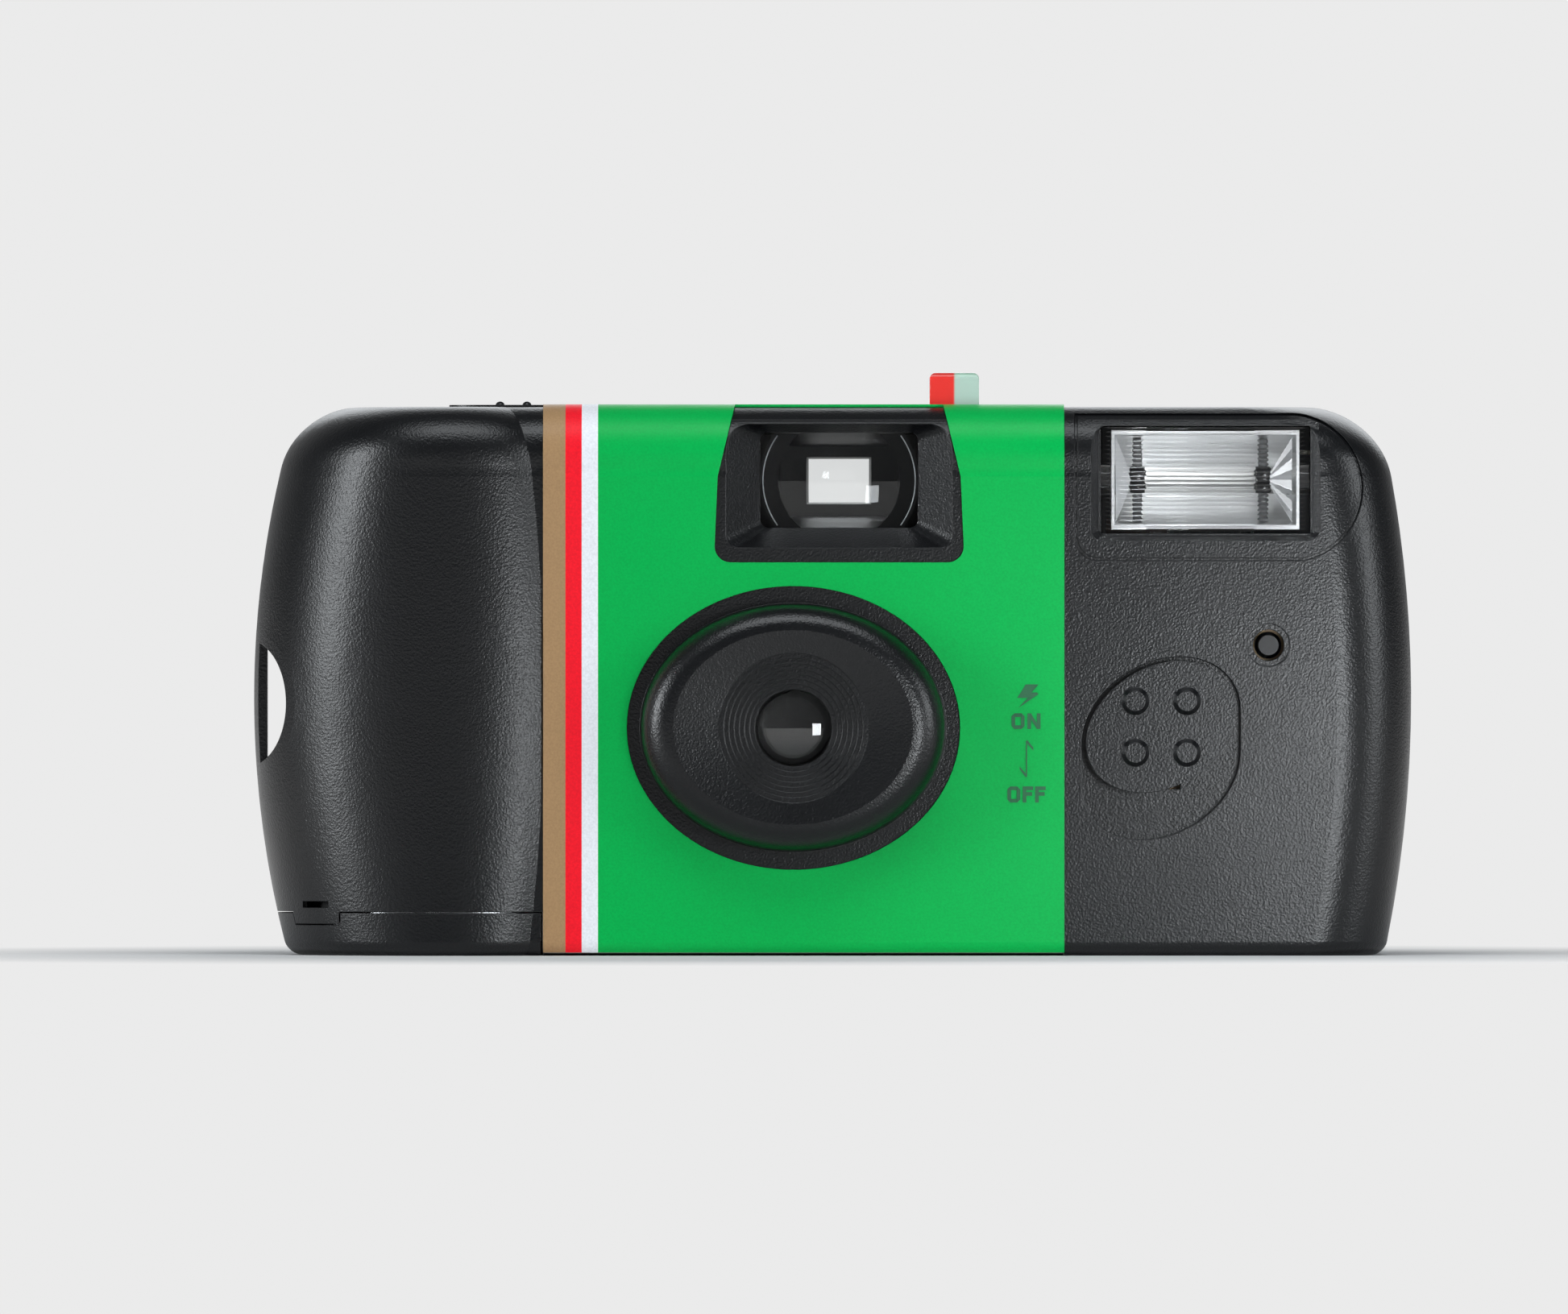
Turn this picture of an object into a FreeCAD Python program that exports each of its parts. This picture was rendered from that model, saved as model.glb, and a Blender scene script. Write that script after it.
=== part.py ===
import FreeCAD, Part
import math
import os

# Single-use 35 mm film camera with a flash, in millimetres.
# X runs along the width, the lens looks along -Y, and Z is up.
# The origin is the middle of the footprint, on the surface the camera stands on.

# Film, a standard 35 mm strip
film_h = 35.0
film_t = 0.14
film_curve_r = 250.0
film_gap = 0.6
gate_w = 36.0
gate_margin = 0.7
perf_pitch = 4.75
perf_w = 1.98
perf_h = 2.8
perf_edge = 2.0

# Film cartridge and its chamber
cart_x = -36.0
cart_y = 1.6
cart_z0 = 1.4
cart_end = 4.4
cart_r = 12.5
chamber_gap = 0.4
chamber_wall = 1.0
spool_r = 5.6

# Thumbwheel and the scoop that bares it
wheel_r = 12.0
wheel_gap = 0.4
wheel_t = 2.2
wheel_teeth = 60
wheel_tooth_depth = 0.5
wheel_pin_r = 1.5
scoop_r = 14.0
scoop_depth_y = 11.9
scoop_rim = 1.2

# Deck over the gate, frame counter on it
deck_t = 1.0
sprocket_x = -15.5
sprocket_teeth = 8
tooth_h = 0.75
dial_y = 1.0
dial_r = 6.2
dial_t = 0.7
dial_rise = 3.0
dial_pin_r = 0.9
head_room = 2.9

# Battery, a standard AAA cell
cell_x = 44.2
cell_y = 4.0
cell_z0 = 2.2
cell_r = 5.25
cell_length = 44.5
contact_t = 0.4
cell_head_room = 2.4

# Cover shells
wall = 1.3
parting_y = 4.0
seam = 0.2
play = 0.3
near = 0.1

# Heights that follow from the film, the cartridge and the cell
film_z0 = cart_z0 + cart_end
film_z1 = film_z0 + film_h
gate_z = film_z0 + film_h / 2
gate_h = film_h - 2 * (perf_edge + perf_h + gate_margin)
perf_z = film_z1 - perf_edge - perf_h / 2
cart_length = film_h + 2 * cart_end
cart_z1 = cart_z0 + cart_length
wheel_z0 = cart_z1 + wheel_gap
wheel_z1 = wheel_z0 + wheel_t
scoop_z0 = wheel_z0 - near / 2
deck_z1 = cart_z1
deck_z0 = deck_z1 - deck_t
dial_z0 = deck_z1 + dial_rise
cell_top_z = cell_z0 + cell_length
case_top_z = max(dial_z0 + head_room, cell_top_z + contact_t + cell_head_room + wall)

# Outer form: a flat-fronted case whose left end is an upright barrel round the film cartridge
end_x = 54.0
case_front_y = -12.0
case_back_y = 15.3
corner_r = 7.0
edge_r = 4.5
foot_r = 1.3
least_foot_r = 0.3
left_shoulder_r = 5.5
right_shoulder_r = 6.5
left_bulge_r = 92.0
right_bulge_r = 116.0
bulge_z = 24.0
barrel_x = -35.5
barrel_half_depth = 15.4
film_y = case_back_y - wall - film_gap

# Printed wrap
wrap_x0 = -26.9
wrap_x1 = 21.6
wrap_t = 0.25
wrap_foot_z = 0.3
dish_gap_x = 1.2
dish_gap_z = 1.6
eye_gap = 1.6
guide_gap = 0.5
button_gap = 0.6

# Lens and the raised dish round it
lens_x = -3.6
lens_z = 21.2
dish_x = -3.65
dish_z = 21.25
dish_rx = 14.3
dish_rz = 11.6
dish_y = -17.0
dish_rim_r = 3.0
dish_draft = 0.15
hub_r = 8.2
hub_back_y = -13.2
ring_steps = 7
ring_outer_r = 6.96
ring_depth = 0.45
ring_rise = 0.22
lens_hole_r = 3.6
lens_r = 4.4
lens_front_y = -14.6
lens_seat = 0.7
lens_front_curve_r = 9.0
lens_back_curve_r = 10.0
lens_thickness = 2.2
aperture_r = 1.5
holder_r = 7.6
holder_eye_r = 3.2

# Viewfinder
finder_x = 0.65
finder_drop = 6.8
finder_z = case_top_z - finder_drop
finder_half_x = 7.25
finder_half_z = 4.4
finder_flare_x = 3.4
finder_flare_z = 2.0
finder_flare_top = 1.2
finder_back_y = -8.8
finder_wall = 0.75
finder_bezel = 4.3
finder_frame_x = 11.3
finder_frame_foot_x = 11.65
finder_frame_top_x = 9.5
finder_frame_z0 = finder_z - 7.7
finder_frame_bend = 8.0
finder_frame_corner_r = 1.5
finder_hollow_r = 22.0
eyepiece_half_x = 4.1
eyepiece_half_z = 3.0
eyepiece_t = 2.7
eyepiece_sink = 0.4
eyepiece_curve_r = 16.0

# Flash
flash_x = 34.75
flash_drop = 6.8
flash_z = case_top_z - flash_drop
flash_half_x = 9.65
flash_half_z = 4.9
flash_draft = 1.1
flash_front_y = -10.9
flash_window_t = 1.2
flash_pane_t = 0.8
flash_ribs = 15
flash_frame = 0.9
tube_r = 1.4
tube_y = -6.3
tube_cap = 1.2
reflector_back_y = -4.6
reflector_t = 0.3
reflector_gap = 0.9

# Outline engraved round the flash
panel_x0 = flash_x - 12.2
panel_z0 = flash_z - 7.55
panel_z1 = flash_z + 6.2
panel_arc = ((flash_x + 8.45, panel_z1), (flash_x + 14.65, flash_z - 0.05), (flash_x + 9.1, panel_z0))
panel_corner_r = 2.2
groove_w = 0.28
groove_depth = 0.16

# Flash switch
knob_x = 30.6
knob_z = 21.3
knob_rx = 7.45
knob_rz = 5.57
knob_tilt = 31.5
knob_face_y = -12.7
knob_travel = 4.0
knob_gap = 0.4
knob_bump_pitch = 4.8
knob_bump_r = 1.3
knob_bump_tip_r = 0.94
knob_bump_h = 0.5
stem_half = 1.5
pocket_floor_y = -10.7
pocket_floor_t = 0.7
carrier_y0 = -9.9
carrier_y1 = -9.1
carrier_half_x = 4.5
carrier_low = 3.5
carrier_high = 12.0
carrier_arm = 3.4

# Ready-light guide
guide_x0 = 9.1
guide_x1 = 13.7
guide_y0 = -6.4
guide_y1 = -3.2
guide_rise = 3.2
guide_top_z = case_top_z + guide_rise
guide_round_r = 0.6

# Locating post seen in its hole
post_x = 40.6
post_z = 28.9
post_r = 0.95
post_hole_r = 1.45
post_sink_r = 2.0
post_tip_y = -11.6

# Shutter button
button_x = -29.7
button_y = -4.4
button_rx = 6.0
button_ry = 3.0
button_rise = 0.2
button_top_z = case_top_z + button_rise
button_h = 2.3
button_z0 = button_top_z - button_h
button_dot_r = 0.45
button_dot_x = 1.25
leg_x0 = -22.6
leg_x1 = -20.2
button_leg_y0 = -6.6
button_leg_y1 = -4.4
spring_x = -18.0
spring_y = -6.5
spring_r = 1.15
spring_wire_r = 0.16
spring_turns = 6

# Supply roll
roll_x = 28.5
roll_y = 3.2
roll_core_r = 5.0
roll_gap = 0.7
roll_wall = 0.8
roll_end_x = 18.0
spindle_r = 1.5
spindle_gap = 0.05

# Flash capacitor
cap_r = 4.8
cap_x0 = -17.0
cap_x1 = 17.0
cap_y = -5.6
cap_z = 7.2

# Circuit board
board_y = -8.2
board_t = 1.0
board_x0 = 15.0
board_x1 = 50.0
board_z0 = 4.5
board_z1 = flash_z - 7.8
lamp_r = 1.5
lamp_x = 16.6
lamp_y = -5.0

# Film door under the cartridge
door_x1 = -27.1
door_lip_z = 3.95
door_gap = 0.12
hinge_y = 12.9
hinge_z = 0.65
hinge_r = 0.6
hinge_pin_r = 0.3
hinge_x0 = -39.5
hinge_x1 = -32.5
hinge_ear = 1.9
door_edge_y = 11.8
tongue_x0 = -51.2
tongue_x1 = -45.9
tongue_y1 = -5.0
tongue_drop = 1.0
latch_slot_x0 = -49.3
latch_slot_x1 = -46.9
latch_slot_z0 = 4.45
latch_slot_z1 = 5.05

# Strap loop in the left end
strap_x = -54.6
strap_z = 23.5
strap_rx = 3.7
strap_rz = 5.9
strap_bar_x = -52.75
strap_bar_y0 = -1.6
strap_bar_y1 = 3.8
pocket_wall = 0.85

# Gate frame, shutter and levers
shutter_y = -10.2
body_front_y = -9.4
body_front_t = 0.9
gate_back_y = 12.0
cone_half = 3.0
cone_wall = 1.0
lever_x = 1.4
lever_y = -1.0
lever_t = 1.2
lever_pin_r = 0.9
lever_z0 = gate_z + 11.6
follower_x = -9.5
follower_y = 1.0
follower_r = 0.8
blade_x = 3.2
blade_z = 27.0
blade_t = 0.3
blade_pin_r = 0.7
release_x = -15.0
release_y = -5.5
release_z = deck_z0 - 3.0
release_hub_r = 1.6
release_pin_r = 0.8
finder_post_y = 8.0
finder_post_r = 1.2

# Derived places
far = 80.0
dial_x = sprocket_x
lip_x0 = cart_x + 5.6
lip_x1 = cart_x + 10.4

V = FreeCAD.Vector


def block(x0, x1, y0, y1, z0, z1):
    return Part.makeBox(x1 - x0, y1 - y0, z1 - z0, V(x0, y0, z0))


def rod_x(y, z, r, x0, x1):
    return Part.makeCylinder(r, x1 - x0, V(x0, y, z), V(1, 0, 0))


def rod_y(x, z, r, y0, y1):
    return Part.makeCylinder(r, y1 - y0, V(x, y0, z), V(0, 1, 0))


def rod_z(x, y, r, z0, z1):
    return Part.makeCylinder(r, z1 - z0, V(x, y, z0), V(0, 0, 1))


def join(first, *others):
    return first.fuse(list(others))


def save(name, shape):
    solids = shape.Solids
    result = solids[0] if len(solids) == 1 else Part.makeCompound(solids)
    result.exportStep("parts/" + name + ".step")
    print(name, len(solids), shape.isValid(), round(shape.Volume, 1))


def ellipse_wire_y(x, z, rx, rz, y):
    curve = Part.Ellipse(V(x + rx, y, z), V(x, y, z + rz), V(x, y, z))
    return Part.Wire([curve.toShape()])


def ellipse_prism_y(x, z, rx, rz, y0, y1):
    if rx >= rz:
        wire = ellipse_wire_y(x, z, rx, rz, y0)
    else:
        curve = Part.Ellipse(V(x, y0, z + rz), V(x + rx, y0, z), V(x, y0, z))
        wire = Part.Wire([curve.toShape()])
    return Part.Face(wire).extrude(V(0, y1 - y0, 0))


def polygon_prism_y(points, y0, y1):
    wire = Part.makePolygon([V(x, y0, z) for x, z in points + points[:1]])
    return Part.Face(wire).extrude(V(0, y1 - y0, 0))


def polygon_prism_z(points, z0, z1):
    wire = Part.makePolygon([V(x, y, z0) for x, y in points + points[:1]])
    return Part.Face(wire).extrude(V(0, 0, z1 - z0))


def rounded_rect_y(x0, x1, z0, z1, r, y):
    s = r * (1 - math.sqrt(0.5))
    corners = [
        (V(x1 - r, y, z0), V(x1 - s, y, z0 + s), V(x1, y, z0 + r)),
        (V(x1, y, z1 - r), V(x1 - s, y, z1 - s), V(x1 - r, y, z1)),
        (V(x0 + r, y, z1), V(x0 + s, y, z1 - s), V(x0, y, z1 - r)),
        (V(x0, y, z0 + r), V(x0 + s, y, z0 + s), V(x0 + r, y, z0)),
    ]
    edges = []
    last = corners[-1][2]
    for start, middle, stop in corners:
        edges.append(Part.LineSegment(last, start).toShape())
        edges.append(Part.Arc(start, middle, stop).toShape())
        last = stop
    return Part.Wire(edges)


def coil(x, y, z, r, wire_r, pitch, turns, direction=None):
    path = Part.makeHelix(pitch, pitch * turns, r)
    profile = Part.Wire([Part.makeCircle(wire_r, V(r, 0, 0), V(0, 1, 0))])
    spring = Part.Wire(path.Edges).makePipeShell([profile], True, True)
    if direction is not None:
        spring.Placement = FreeCAD.Placement(V(0, 0, 0), FreeCAD.Rotation(V(0, 0, 1), direction))
    spring.translate(V(x, y, z))
    return spring


# Outer form of the case


def rounding(radius, rise):
    if rise <= 0:
        return 0.0
    return radius - math.sqrt(max(0.0, radius ** 2 - rise ** 2))


def bulge(radius, z):
    return radius - math.sqrt(radius ** 2 - (z - bulge_z) ** 2)


def section(z, inset, foot, top):
    edge = edge_r - inset
    base = max(foot_r - inset, least_foot_r)
    left = left_shoulder_r - inset
    right = right_shoulder_r - inset
    low = rounding(base, foot + base - z)
    rim = rounding(edge, z - (top - edge)) + low
    half_x = barrel_x + end_x - inset
    half_x -= bulge(left_bulge_r, z) + rounding(left, z - (top - left)) + low
    half_y = barrel_half_depth - inset - rim
    front = case_front_y + inset + rim
    back = case_back_y - inset - rim
    x1 = end_x - inset - bulge(right_bulge_r, z) - rounding(right, z - (top - right)) - low
    r = max(corner_r - inset, 1.0)
    start = math.asin((front - cart_y) / half_y)
    stop = math.asin((back - cart_y) / half_y) - 2 * math.pi
    steps = 8
    points = []
    for i in range(steps + 1):
        angle = start + (stop - start) * i / steps
        points.append(V(barrel_x + half_x * math.cos(angle), cart_y + half_y * math.sin(angle), z))
    barrel = Part.BSplineCurve()
    barrel.interpolate(points)
    s = r * (1 - math.sqrt(0.5))
    back_start = V(x1 - r, back, z)
    back_stop = V(x1, back - r, z)
    front_start = V(x1, front + r, z)
    front_stop = V(x1 - r, front, z)
    return Part.Wire([
        barrel.toShape(),
        Part.LineSegment(points[-1], back_start).toShape(),
        Part.Arc(back_start, V(x1 - s, back - s, z), back_stop).toShape(),
        Part.LineSegment(back_stop, front_start).toShape(),
        Part.Arc(front_start, V(x1 - s, front + s, z), front_stop).toShape(),
        Part.LineSegment(front_stop, points[0]).toShape(),
    ])


def form(inset):
    """Case shape pulled in by inset: a rounded foot, bowed sides and a rounded top, each lofted."""
    low = inset
    top = case_top_z - inset
    bottom = low + max(foot_r - inset, least_foot_r)
    shoulder = right_shoulder_r - inset
    height = top - shoulder - bottom
    stages = [
        [low + (bottom - low) * (1 - math.cos(math.pi / 2 * i / 3)) for i in range(4)],
        [bottom + height * i / 5 for i in range(6)],
        [top - shoulder + shoulder * math.sin(math.pi / 2 * i / 7) for i in range(8)],
    ]
    lofts = [Part.makeLoft([section(z, inset, low, top) for z in heights], True, False) for heights in stages]
    return join(*lofts)


outer_form = form(0.0)
inner_form = form(wall)
plain_shell = outer_form.cut(inner_form)


# Covers


def wrap_zone(z0, z1):
    return block(wrap_x0, wrap_x1, -far, far, z0, z1)


def strap_notch(extra):
    return ellipse_prism_y(strap_x, strap_z, strap_rx + extra, strap_rz + extra, -far, far)


def cover_shell():
    lining = strap_notch(pocket_wall).common(outer_form)
    return join(plain_shell, lining).cut([strap_notch(0.0), wrap_zone(-1.0, wrap_foot_z + wrap_t)])


def strap_bar():
    zone = block(-far, strap_bar_x, strap_bar_y0, strap_bar_y1, strap_z - strap_rz - 1, strap_z + strap_rz + 1)
    return outer_form.common(zone)


def dish_solid(inset, back_y):
    """Round boss, then narrowed in height to the oval of the lens surround."""
    r = dish_rx - inset
    front = dish_y + inset
    rim = dish_rim_r - inset
    sunk = front + ring_depth
    corner = V(r - dish_draft - rim * (1 - math.sqrt(0.5)), front + rim * (1 - math.sqrt(0.5)), 0)
    edges = [
        Part.LineSegment(V(0, back_y, 0), V(r, back_y, 0)),
        Part.LineSegment(V(r, back_y, 0), V(r - dish_draft, front + rim, 0)),
        Part.Arc(V(r - dish_draft, front + rim, 0), corner, V(r - dish_draft - rim, front, 0)),
        Part.LineSegment(V(r - dish_draft - rim, front, 0), V(ring_outer_r, sunk, 0)),
        Part.LineSegment(V(ring_outer_r, sunk, 0), V(0, sunk, 0)),
        Part.LineSegment(V(0, sunk, 0), V(0, back_y, 0)),
    ]
    profile = Part.Face(Part.Wire([edge.toShape() for edge in edges]))
    squeeze = FreeCAD.Matrix()
    squeeze.scale(1.0, 1.0, dish_rz / dish_rx)
    boss = profile.revolve(V(0, 0, 0), V(0, 1, 0), 360).transformGeometry(squeeze)
    boss.translate(V(dish_x, 0, dish_z))
    return boss


def stepped_mouth():
    tools = [rod_y(lens_x, lens_z, lens_hole_r, dish_y - 1, hub_back_y + 1)]
    for i in range(ring_steps):
        r = ring_outer_r - (ring_outer_r - lens_hole_r) * i / ring_steps
        tools.append(rod_y(lens_x, lens_z, r, dish_y - 1, dish_y + ring_depth + ring_rise * i))
    seat = rod_y(lens_x, lens_z, lens_r + 2 * near, lens_front_y + lens_seat, hub_back_y + 1)
    return tools + [seat]


def knob_outline(grow, y0, y1, drop):
    rx = knob_rx + grow
    rz = knob_rz + grow
    tilt = FreeCAD.Rotation(V(0, -1, 0), knob_tilt)
    centre = V(knob_x, 0, knob_z)
    upper = ellipse_prism_y(0, 0, rx, rz, y0, y1)
    upper.Placement = FreeCAD.Placement(centre, tilt)
    if drop == 0:
        return upper
    lower = upper.copy()
    lower.translate(V(0, 0, -drop))
    angle = math.radians(knob_tilt)
    reach_x = math.sqrt((rx * math.cos(angle)) ** 2 + (rz * math.sin(angle)) ** 2)
    reach_z = (rx ** 2 - rz ** 2) * math.sin(angle) * math.cos(angle) / reach_x
    band = polygon_prism_y([
        (knob_x - reach_x, knob_z - reach_z),
        (knob_x + reach_x, knob_z + reach_z),
        (knob_x + reach_x, knob_z + reach_z - drop),
        (knob_x - reach_x, knob_z - reach_z - drop),
    ], y0, y1)
    return join(upper, lower, band)


def knob_pocket():
    back = pocket_floor_y + pocket_floor_t
    frame = knob_outline(knob_gap + wall / 2, case_front_y + wall / 2, back, knob_travel)
    hollow = knob_outline(knob_gap, case_front_y - 1, pocket_floor_y, knob_travel)
    half = stem_half + play
    slot = block(
        knob_x - half, knob_x + half, case_front_y - 1, back + 1, knob_z - half - knob_travel, knob_z + half)
    return frame, hollow, slot


def finder_funnel():
    front = rounded_rect_y(
        finder_x - finder_half_x - finder_flare_x, finder_x + finder_half_x + finder_flare_x,
        finder_z - finder_half_z - finder_flare_z, finder_z + finder_half_z + finder_flare_top, 1.2,
        case_front_y - near)
    back = rounded_rect_y(
        finder_x - finder_half_x, finder_x + finder_half_x,
        finder_z - finder_half_z, finder_z + finder_half_z, 0.8, finder_back_y + near)
    return Part.makeLoft([front, back], True, True)


def flash_well():
    back_y = flash_front_y - near
    front = rounded_rect_y(
        flash_x - flash_half_x - flash_draft, flash_x + flash_half_x + flash_draft,
        flash_z - flash_half_z - 0.8, flash_z + flash_half_z + 0.4, 1.2, case_front_y - near)
    back = rounded_rect_y(
        flash_x - flash_half_x - play, flash_x + flash_half_x + play,
        flash_z - flash_half_z - play, flash_z + flash_half_z + near, 0.8, back_y)
    through = block(
        flash_x - flash_half_x - near, flash_x + flash_half_x + near, back_y - near, case_front_y + 4,
        flash_z - flash_half_z - near, flash_z + flash_half_z + near)
    return [Part.makeLoft([front, back], True, True), through]


def panel_outline(inset):
    """Rounded outline round the flash: square at upper left, one large arc at the right."""
    top, side, low = [V(x, 0, z) for x, z in panel_arc]
    centre = Part.Arc(top, side, low).toShape().Curve.Center
    ends = [p + (centre - p).normalize() * inset for p in (top, side, low)]
    x0 = panel_x0 + inset
    z0 = panel_z0 + inset
    z1 = panel_z1 - inset
    r = panel_corner_r - inset
    s = r * (1 - math.sqrt(0.5))
    ends[0].z = z1
    ends[2].z = z0
    return Part.Wire([edge.toShape() for edge in (
        Part.Arc(*ends),
        Part.LineSegment(ends[2], V(x0 + r, 0, z0)),
        Part.Arc(V(x0 + r, 0, z0), V(x0 + s, 0, z0 + s), V(x0, 0, z0 + r)),
        Part.LineSegment(V(x0, 0, z0 + r), V(x0, 0, z1)),
        Part.LineSegment(V(x0, 0, z1), ends[0]),
    )])


def flash_groove():
    solids = []
    for inset in (0.0, groove_w):
        face = Part.Face(panel_outline(inset))
        face.translate(V(0, case_front_y - 1, 0))
        solids.append(face.extrude(V(0, edge_r + 1, 0)))
    return solids[0].cut([solids[1], form(groove_depth)])


def button_prism(grow, z0, z1):
    curve = Part.Ellipse(
        V(button_x + button_rx + grow, button_y, z0), V(button_x, button_y + button_ry + grow, z0),
        V(button_x, button_y, z0))
    return Part.Face(Part.Wire([curve.toShape()])).extrude(V(0, 0, z1 - z0))


def door_tongue(grow):
    return block(tongue_x0 - grow, tongue_x1 + grow, -far, tongue_y1 + grow, door_lip_z - tongue_drop - grow,
                 door_lip_z + 1)


def door_zone(gap):
    zone = block(-far, door_x1 + gap, -far, door_edge_y + gap + 0.15, -1.0, door_lip_z + gap)
    return zone.cut(door_tongue(0.0))


def hinge_relief():
    return block(hinge_x0 - play, hinge_x1 + play, door_edge_y, hinge_y + hinge_r + play,
                 -1.0, hinge_z + hinge_r + play)


def front_cover(shell):
    zone = block(-far, far, -far, parting_y - seam / 2, -1, far)
    cover = shell.common(zone)
    hub = rod_y(lens_x, lens_z, hub_r, dish_y + ring_depth, hub_back_y)
    dish = dish_solid(0.0, case_front_y + wall / 2)
    dish_hollow = dish_solid(wall, case_front_y + wall + 1)
    frame, hollow, slot = knob_pocket()
    finder_block = block(
        finder_x - finder_half_x - finder_bezel, finder_x + finder_half_x + finder_bezel,
        case_front_y + wall - near, finder_back_y,
        finder_frame_z0, case_top_z - wall + near)
    flash_block = block(
        flash_x - flash_half_x - flash_frame, flash_x + flash_half_x + flash_frame,
        case_front_y + wall - near, case_front_y + 2.4,
        flash_z - flash_half_z - flash_frame, case_top_z - wall + near)
    wheel_pin = rod_z(cart_x, cart_y, wheel_pin_r, wheel_z0 + 0.6, case_top_z - wall + near)
    cover = join(cover, dish).cut(dish_hollow)
    cover = join(cover, hub, frame, finder_block, flash_block, wheel_pin, strap_bar())
    window = block(dial_x - dial_r + 0.4, dial_x - 1.6, dial_y - 2.2, dial_y + 2.2, dial_z0, far)
    guide_slot = block(guide_x0 - play, guide_x1 + play, guide_y0 - play, guide_y1 + play, 40, far)
    post_hole = rod_y(post_x, post_z, post_hole_r, -far / 4, case_front_y + 3)
    post_sink = rod_y(post_x, post_z, post_sink_r, -far / 4, case_front_y + 0.6)
    tools = stepped_mouth() + [hollow, slot, finder_funnel(), button_prism(0.2, 45, far), window, guide_slot]
    latch_slot = block(latch_slot_x0, latch_slot_x1, -far, tongue_y1, latch_slot_z0, latch_slot_z1)
    tools += flash_well() + [post_hole, post_sink, door_zone(door_gap), latch_slot, flash_groove()]
    return cover.cut(tools)


def rear_rails():
    rails = []
    clear_film = rod_z(lens_x, film_y - film_curve_r, film_curve_r + film_t / 2 + play, 0, case_top_z)
    for z in (film_z0 + 3.0, film_z1 - 1.8):
        rail = block(lens_x - gate_w / 2, lens_x + gate_w / 2, film_y - 1.0, case_back_y - wall / 2, z, z + 1.2)
        rails.append(rail.cut(clear_film))
    return rails


def scoop_tool(extra, z0):
    return rod_z(cart_x, cart_y + scoop_depth_y + scoop_r, scoop_r + extra, z0, far)


def rear_cover(shell):
    zone = block(-far, far, parting_y + seam / 2, far, -1, far)
    cover = shell.common(zone)
    liner = scoop_tool(scoop_rim, scoop_z0).common(block(-far, far, parting_y + 1, far, 0, far))
    liner = liner.common(outer_form)
    cover = join(cover, liner, *rear_rails())
    wheel_slot = rod_z(cart_x, cart_y, wheel_r + play, wheel_z0 - play, wheel_z1 + play)
    eye_hole = block(
        finder_x - eyepiece_half_x - play, finder_x + eyepiece_half_x + play, case_back_y - 3, far,
        finder_z - eyepiece_half_z - play, finder_z + eyepiece_half_z + play)
    cover = cover.cut([scoop_tool(0.0, scoop_z0), wheel_slot, eye_hole, door_zone(door_gap), hinge_relief()])
    ears = []
    spans = ((hinge_x0 - play - hinge_ear, hinge_x0 - play), (hinge_x1 + play, hinge_x1 + play + hinge_ear))
    for x0, x1 in spans:
        foot = block(x0, x1, hinge_y - 0.4, hinge_y + 1.6, 0.1, hinge_z + hinge_r)
        ears.append(foot)
    pin_hole = rod_x(hinge_y, hinge_z, hinge_pin_r + 0.04, hinge_x0 - 1.8, hinge_x1 + 1.8)
    return join(cover, *ears).cut(pin_hole)


def film_door():
    zone = block(-far, door_x1, -far, door_edge_y, -1.0, door_lip_z)
    plate = plain_shell.common(zone).cut(door_tongue(door_gap))
    arm = block(hinge_x0, hinge_x1, door_edge_y - 1.0, hinge_y, 0.1, wall - 0.1)
    knuckle = rod_x(hinge_y, hinge_z, hinge_r, hinge_x0, hinge_x1)
    pin = rod_x(hinge_y, hinge_z, hinge_pin_r, hinge_x0 - 1.6, hinge_x1 + 1.6)
    return join(plate, arm, knuckle, pin)


def rounded_foot(frame):
    """The gap round the viewfinder, with its two lower corners rounded."""
    corners = []
    for edge in frame.Edges:
        box = edge.BoundBox
        if box.ZMax < finder_frame_z0 + near and box.XLength < near:
            corners.append(edge)
    return frame.makeFillet(finder_frame_corner_r, corners)


def wrap_label():
    grown = form(-wrap_t).common(wrap_zone(wrap_foot_z, far))
    sheet = grown.cut(outer_form.common(wrap_zone(wrap_foot_z + wrap_t, far)))
    dish_gap = ellipse_prism_y(
        lens_x, lens_z, dish_rx + dish_gap_x, dish_rz + dish_gap_z, -far / 4, case_front_y + 1)
    frame = polygon_prism_y([
        (finder_x - finder_frame_foot_x, finder_frame_z0), (finder_x + finder_frame_foot_x, finder_frame_z0),
        (finder_x + finder_frame_x, finder_frame_z0 + finder_frame_bend),
        (finder_x + finder_frame_top_x, case_top_z + 1), (finder_x - finder_frame_top_x, case_top_z + 1),
        (finder_x - finder_frame_x, finder_frame_z0 + finder_frame_bend),
    ], -far / 4, case_front_y + edge_r - 0.4)
    eye = block(
        finder_x - eyepiece_half_x - eye_gap, finder_x + eyepiece_half_x + eye_gap, case_back_y - 1, far,
        finder_z - eyepiece_half_z - eye_gap, finder_z + eyepiece_half_z + eye_gap)
    guide = block(
        guide_x0 - guide_gap, guide_x1 + guide_gap, guide_y0 - guide_gap, guide_y1 + guide_gap,
        case_top_z - 1, far)
    window = block(dial_x - dial_r - 0.2, dial_x - 1.0, dial_y - 2.8, dial_y + 2.8, case_top_z - 1, far)
    button = button_prism(button_gap, case_top_z - 1, far)
    return sheet.cut([dish_gap, rounded_foot(frame), eye, guide, window, button])


# Optics


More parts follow.
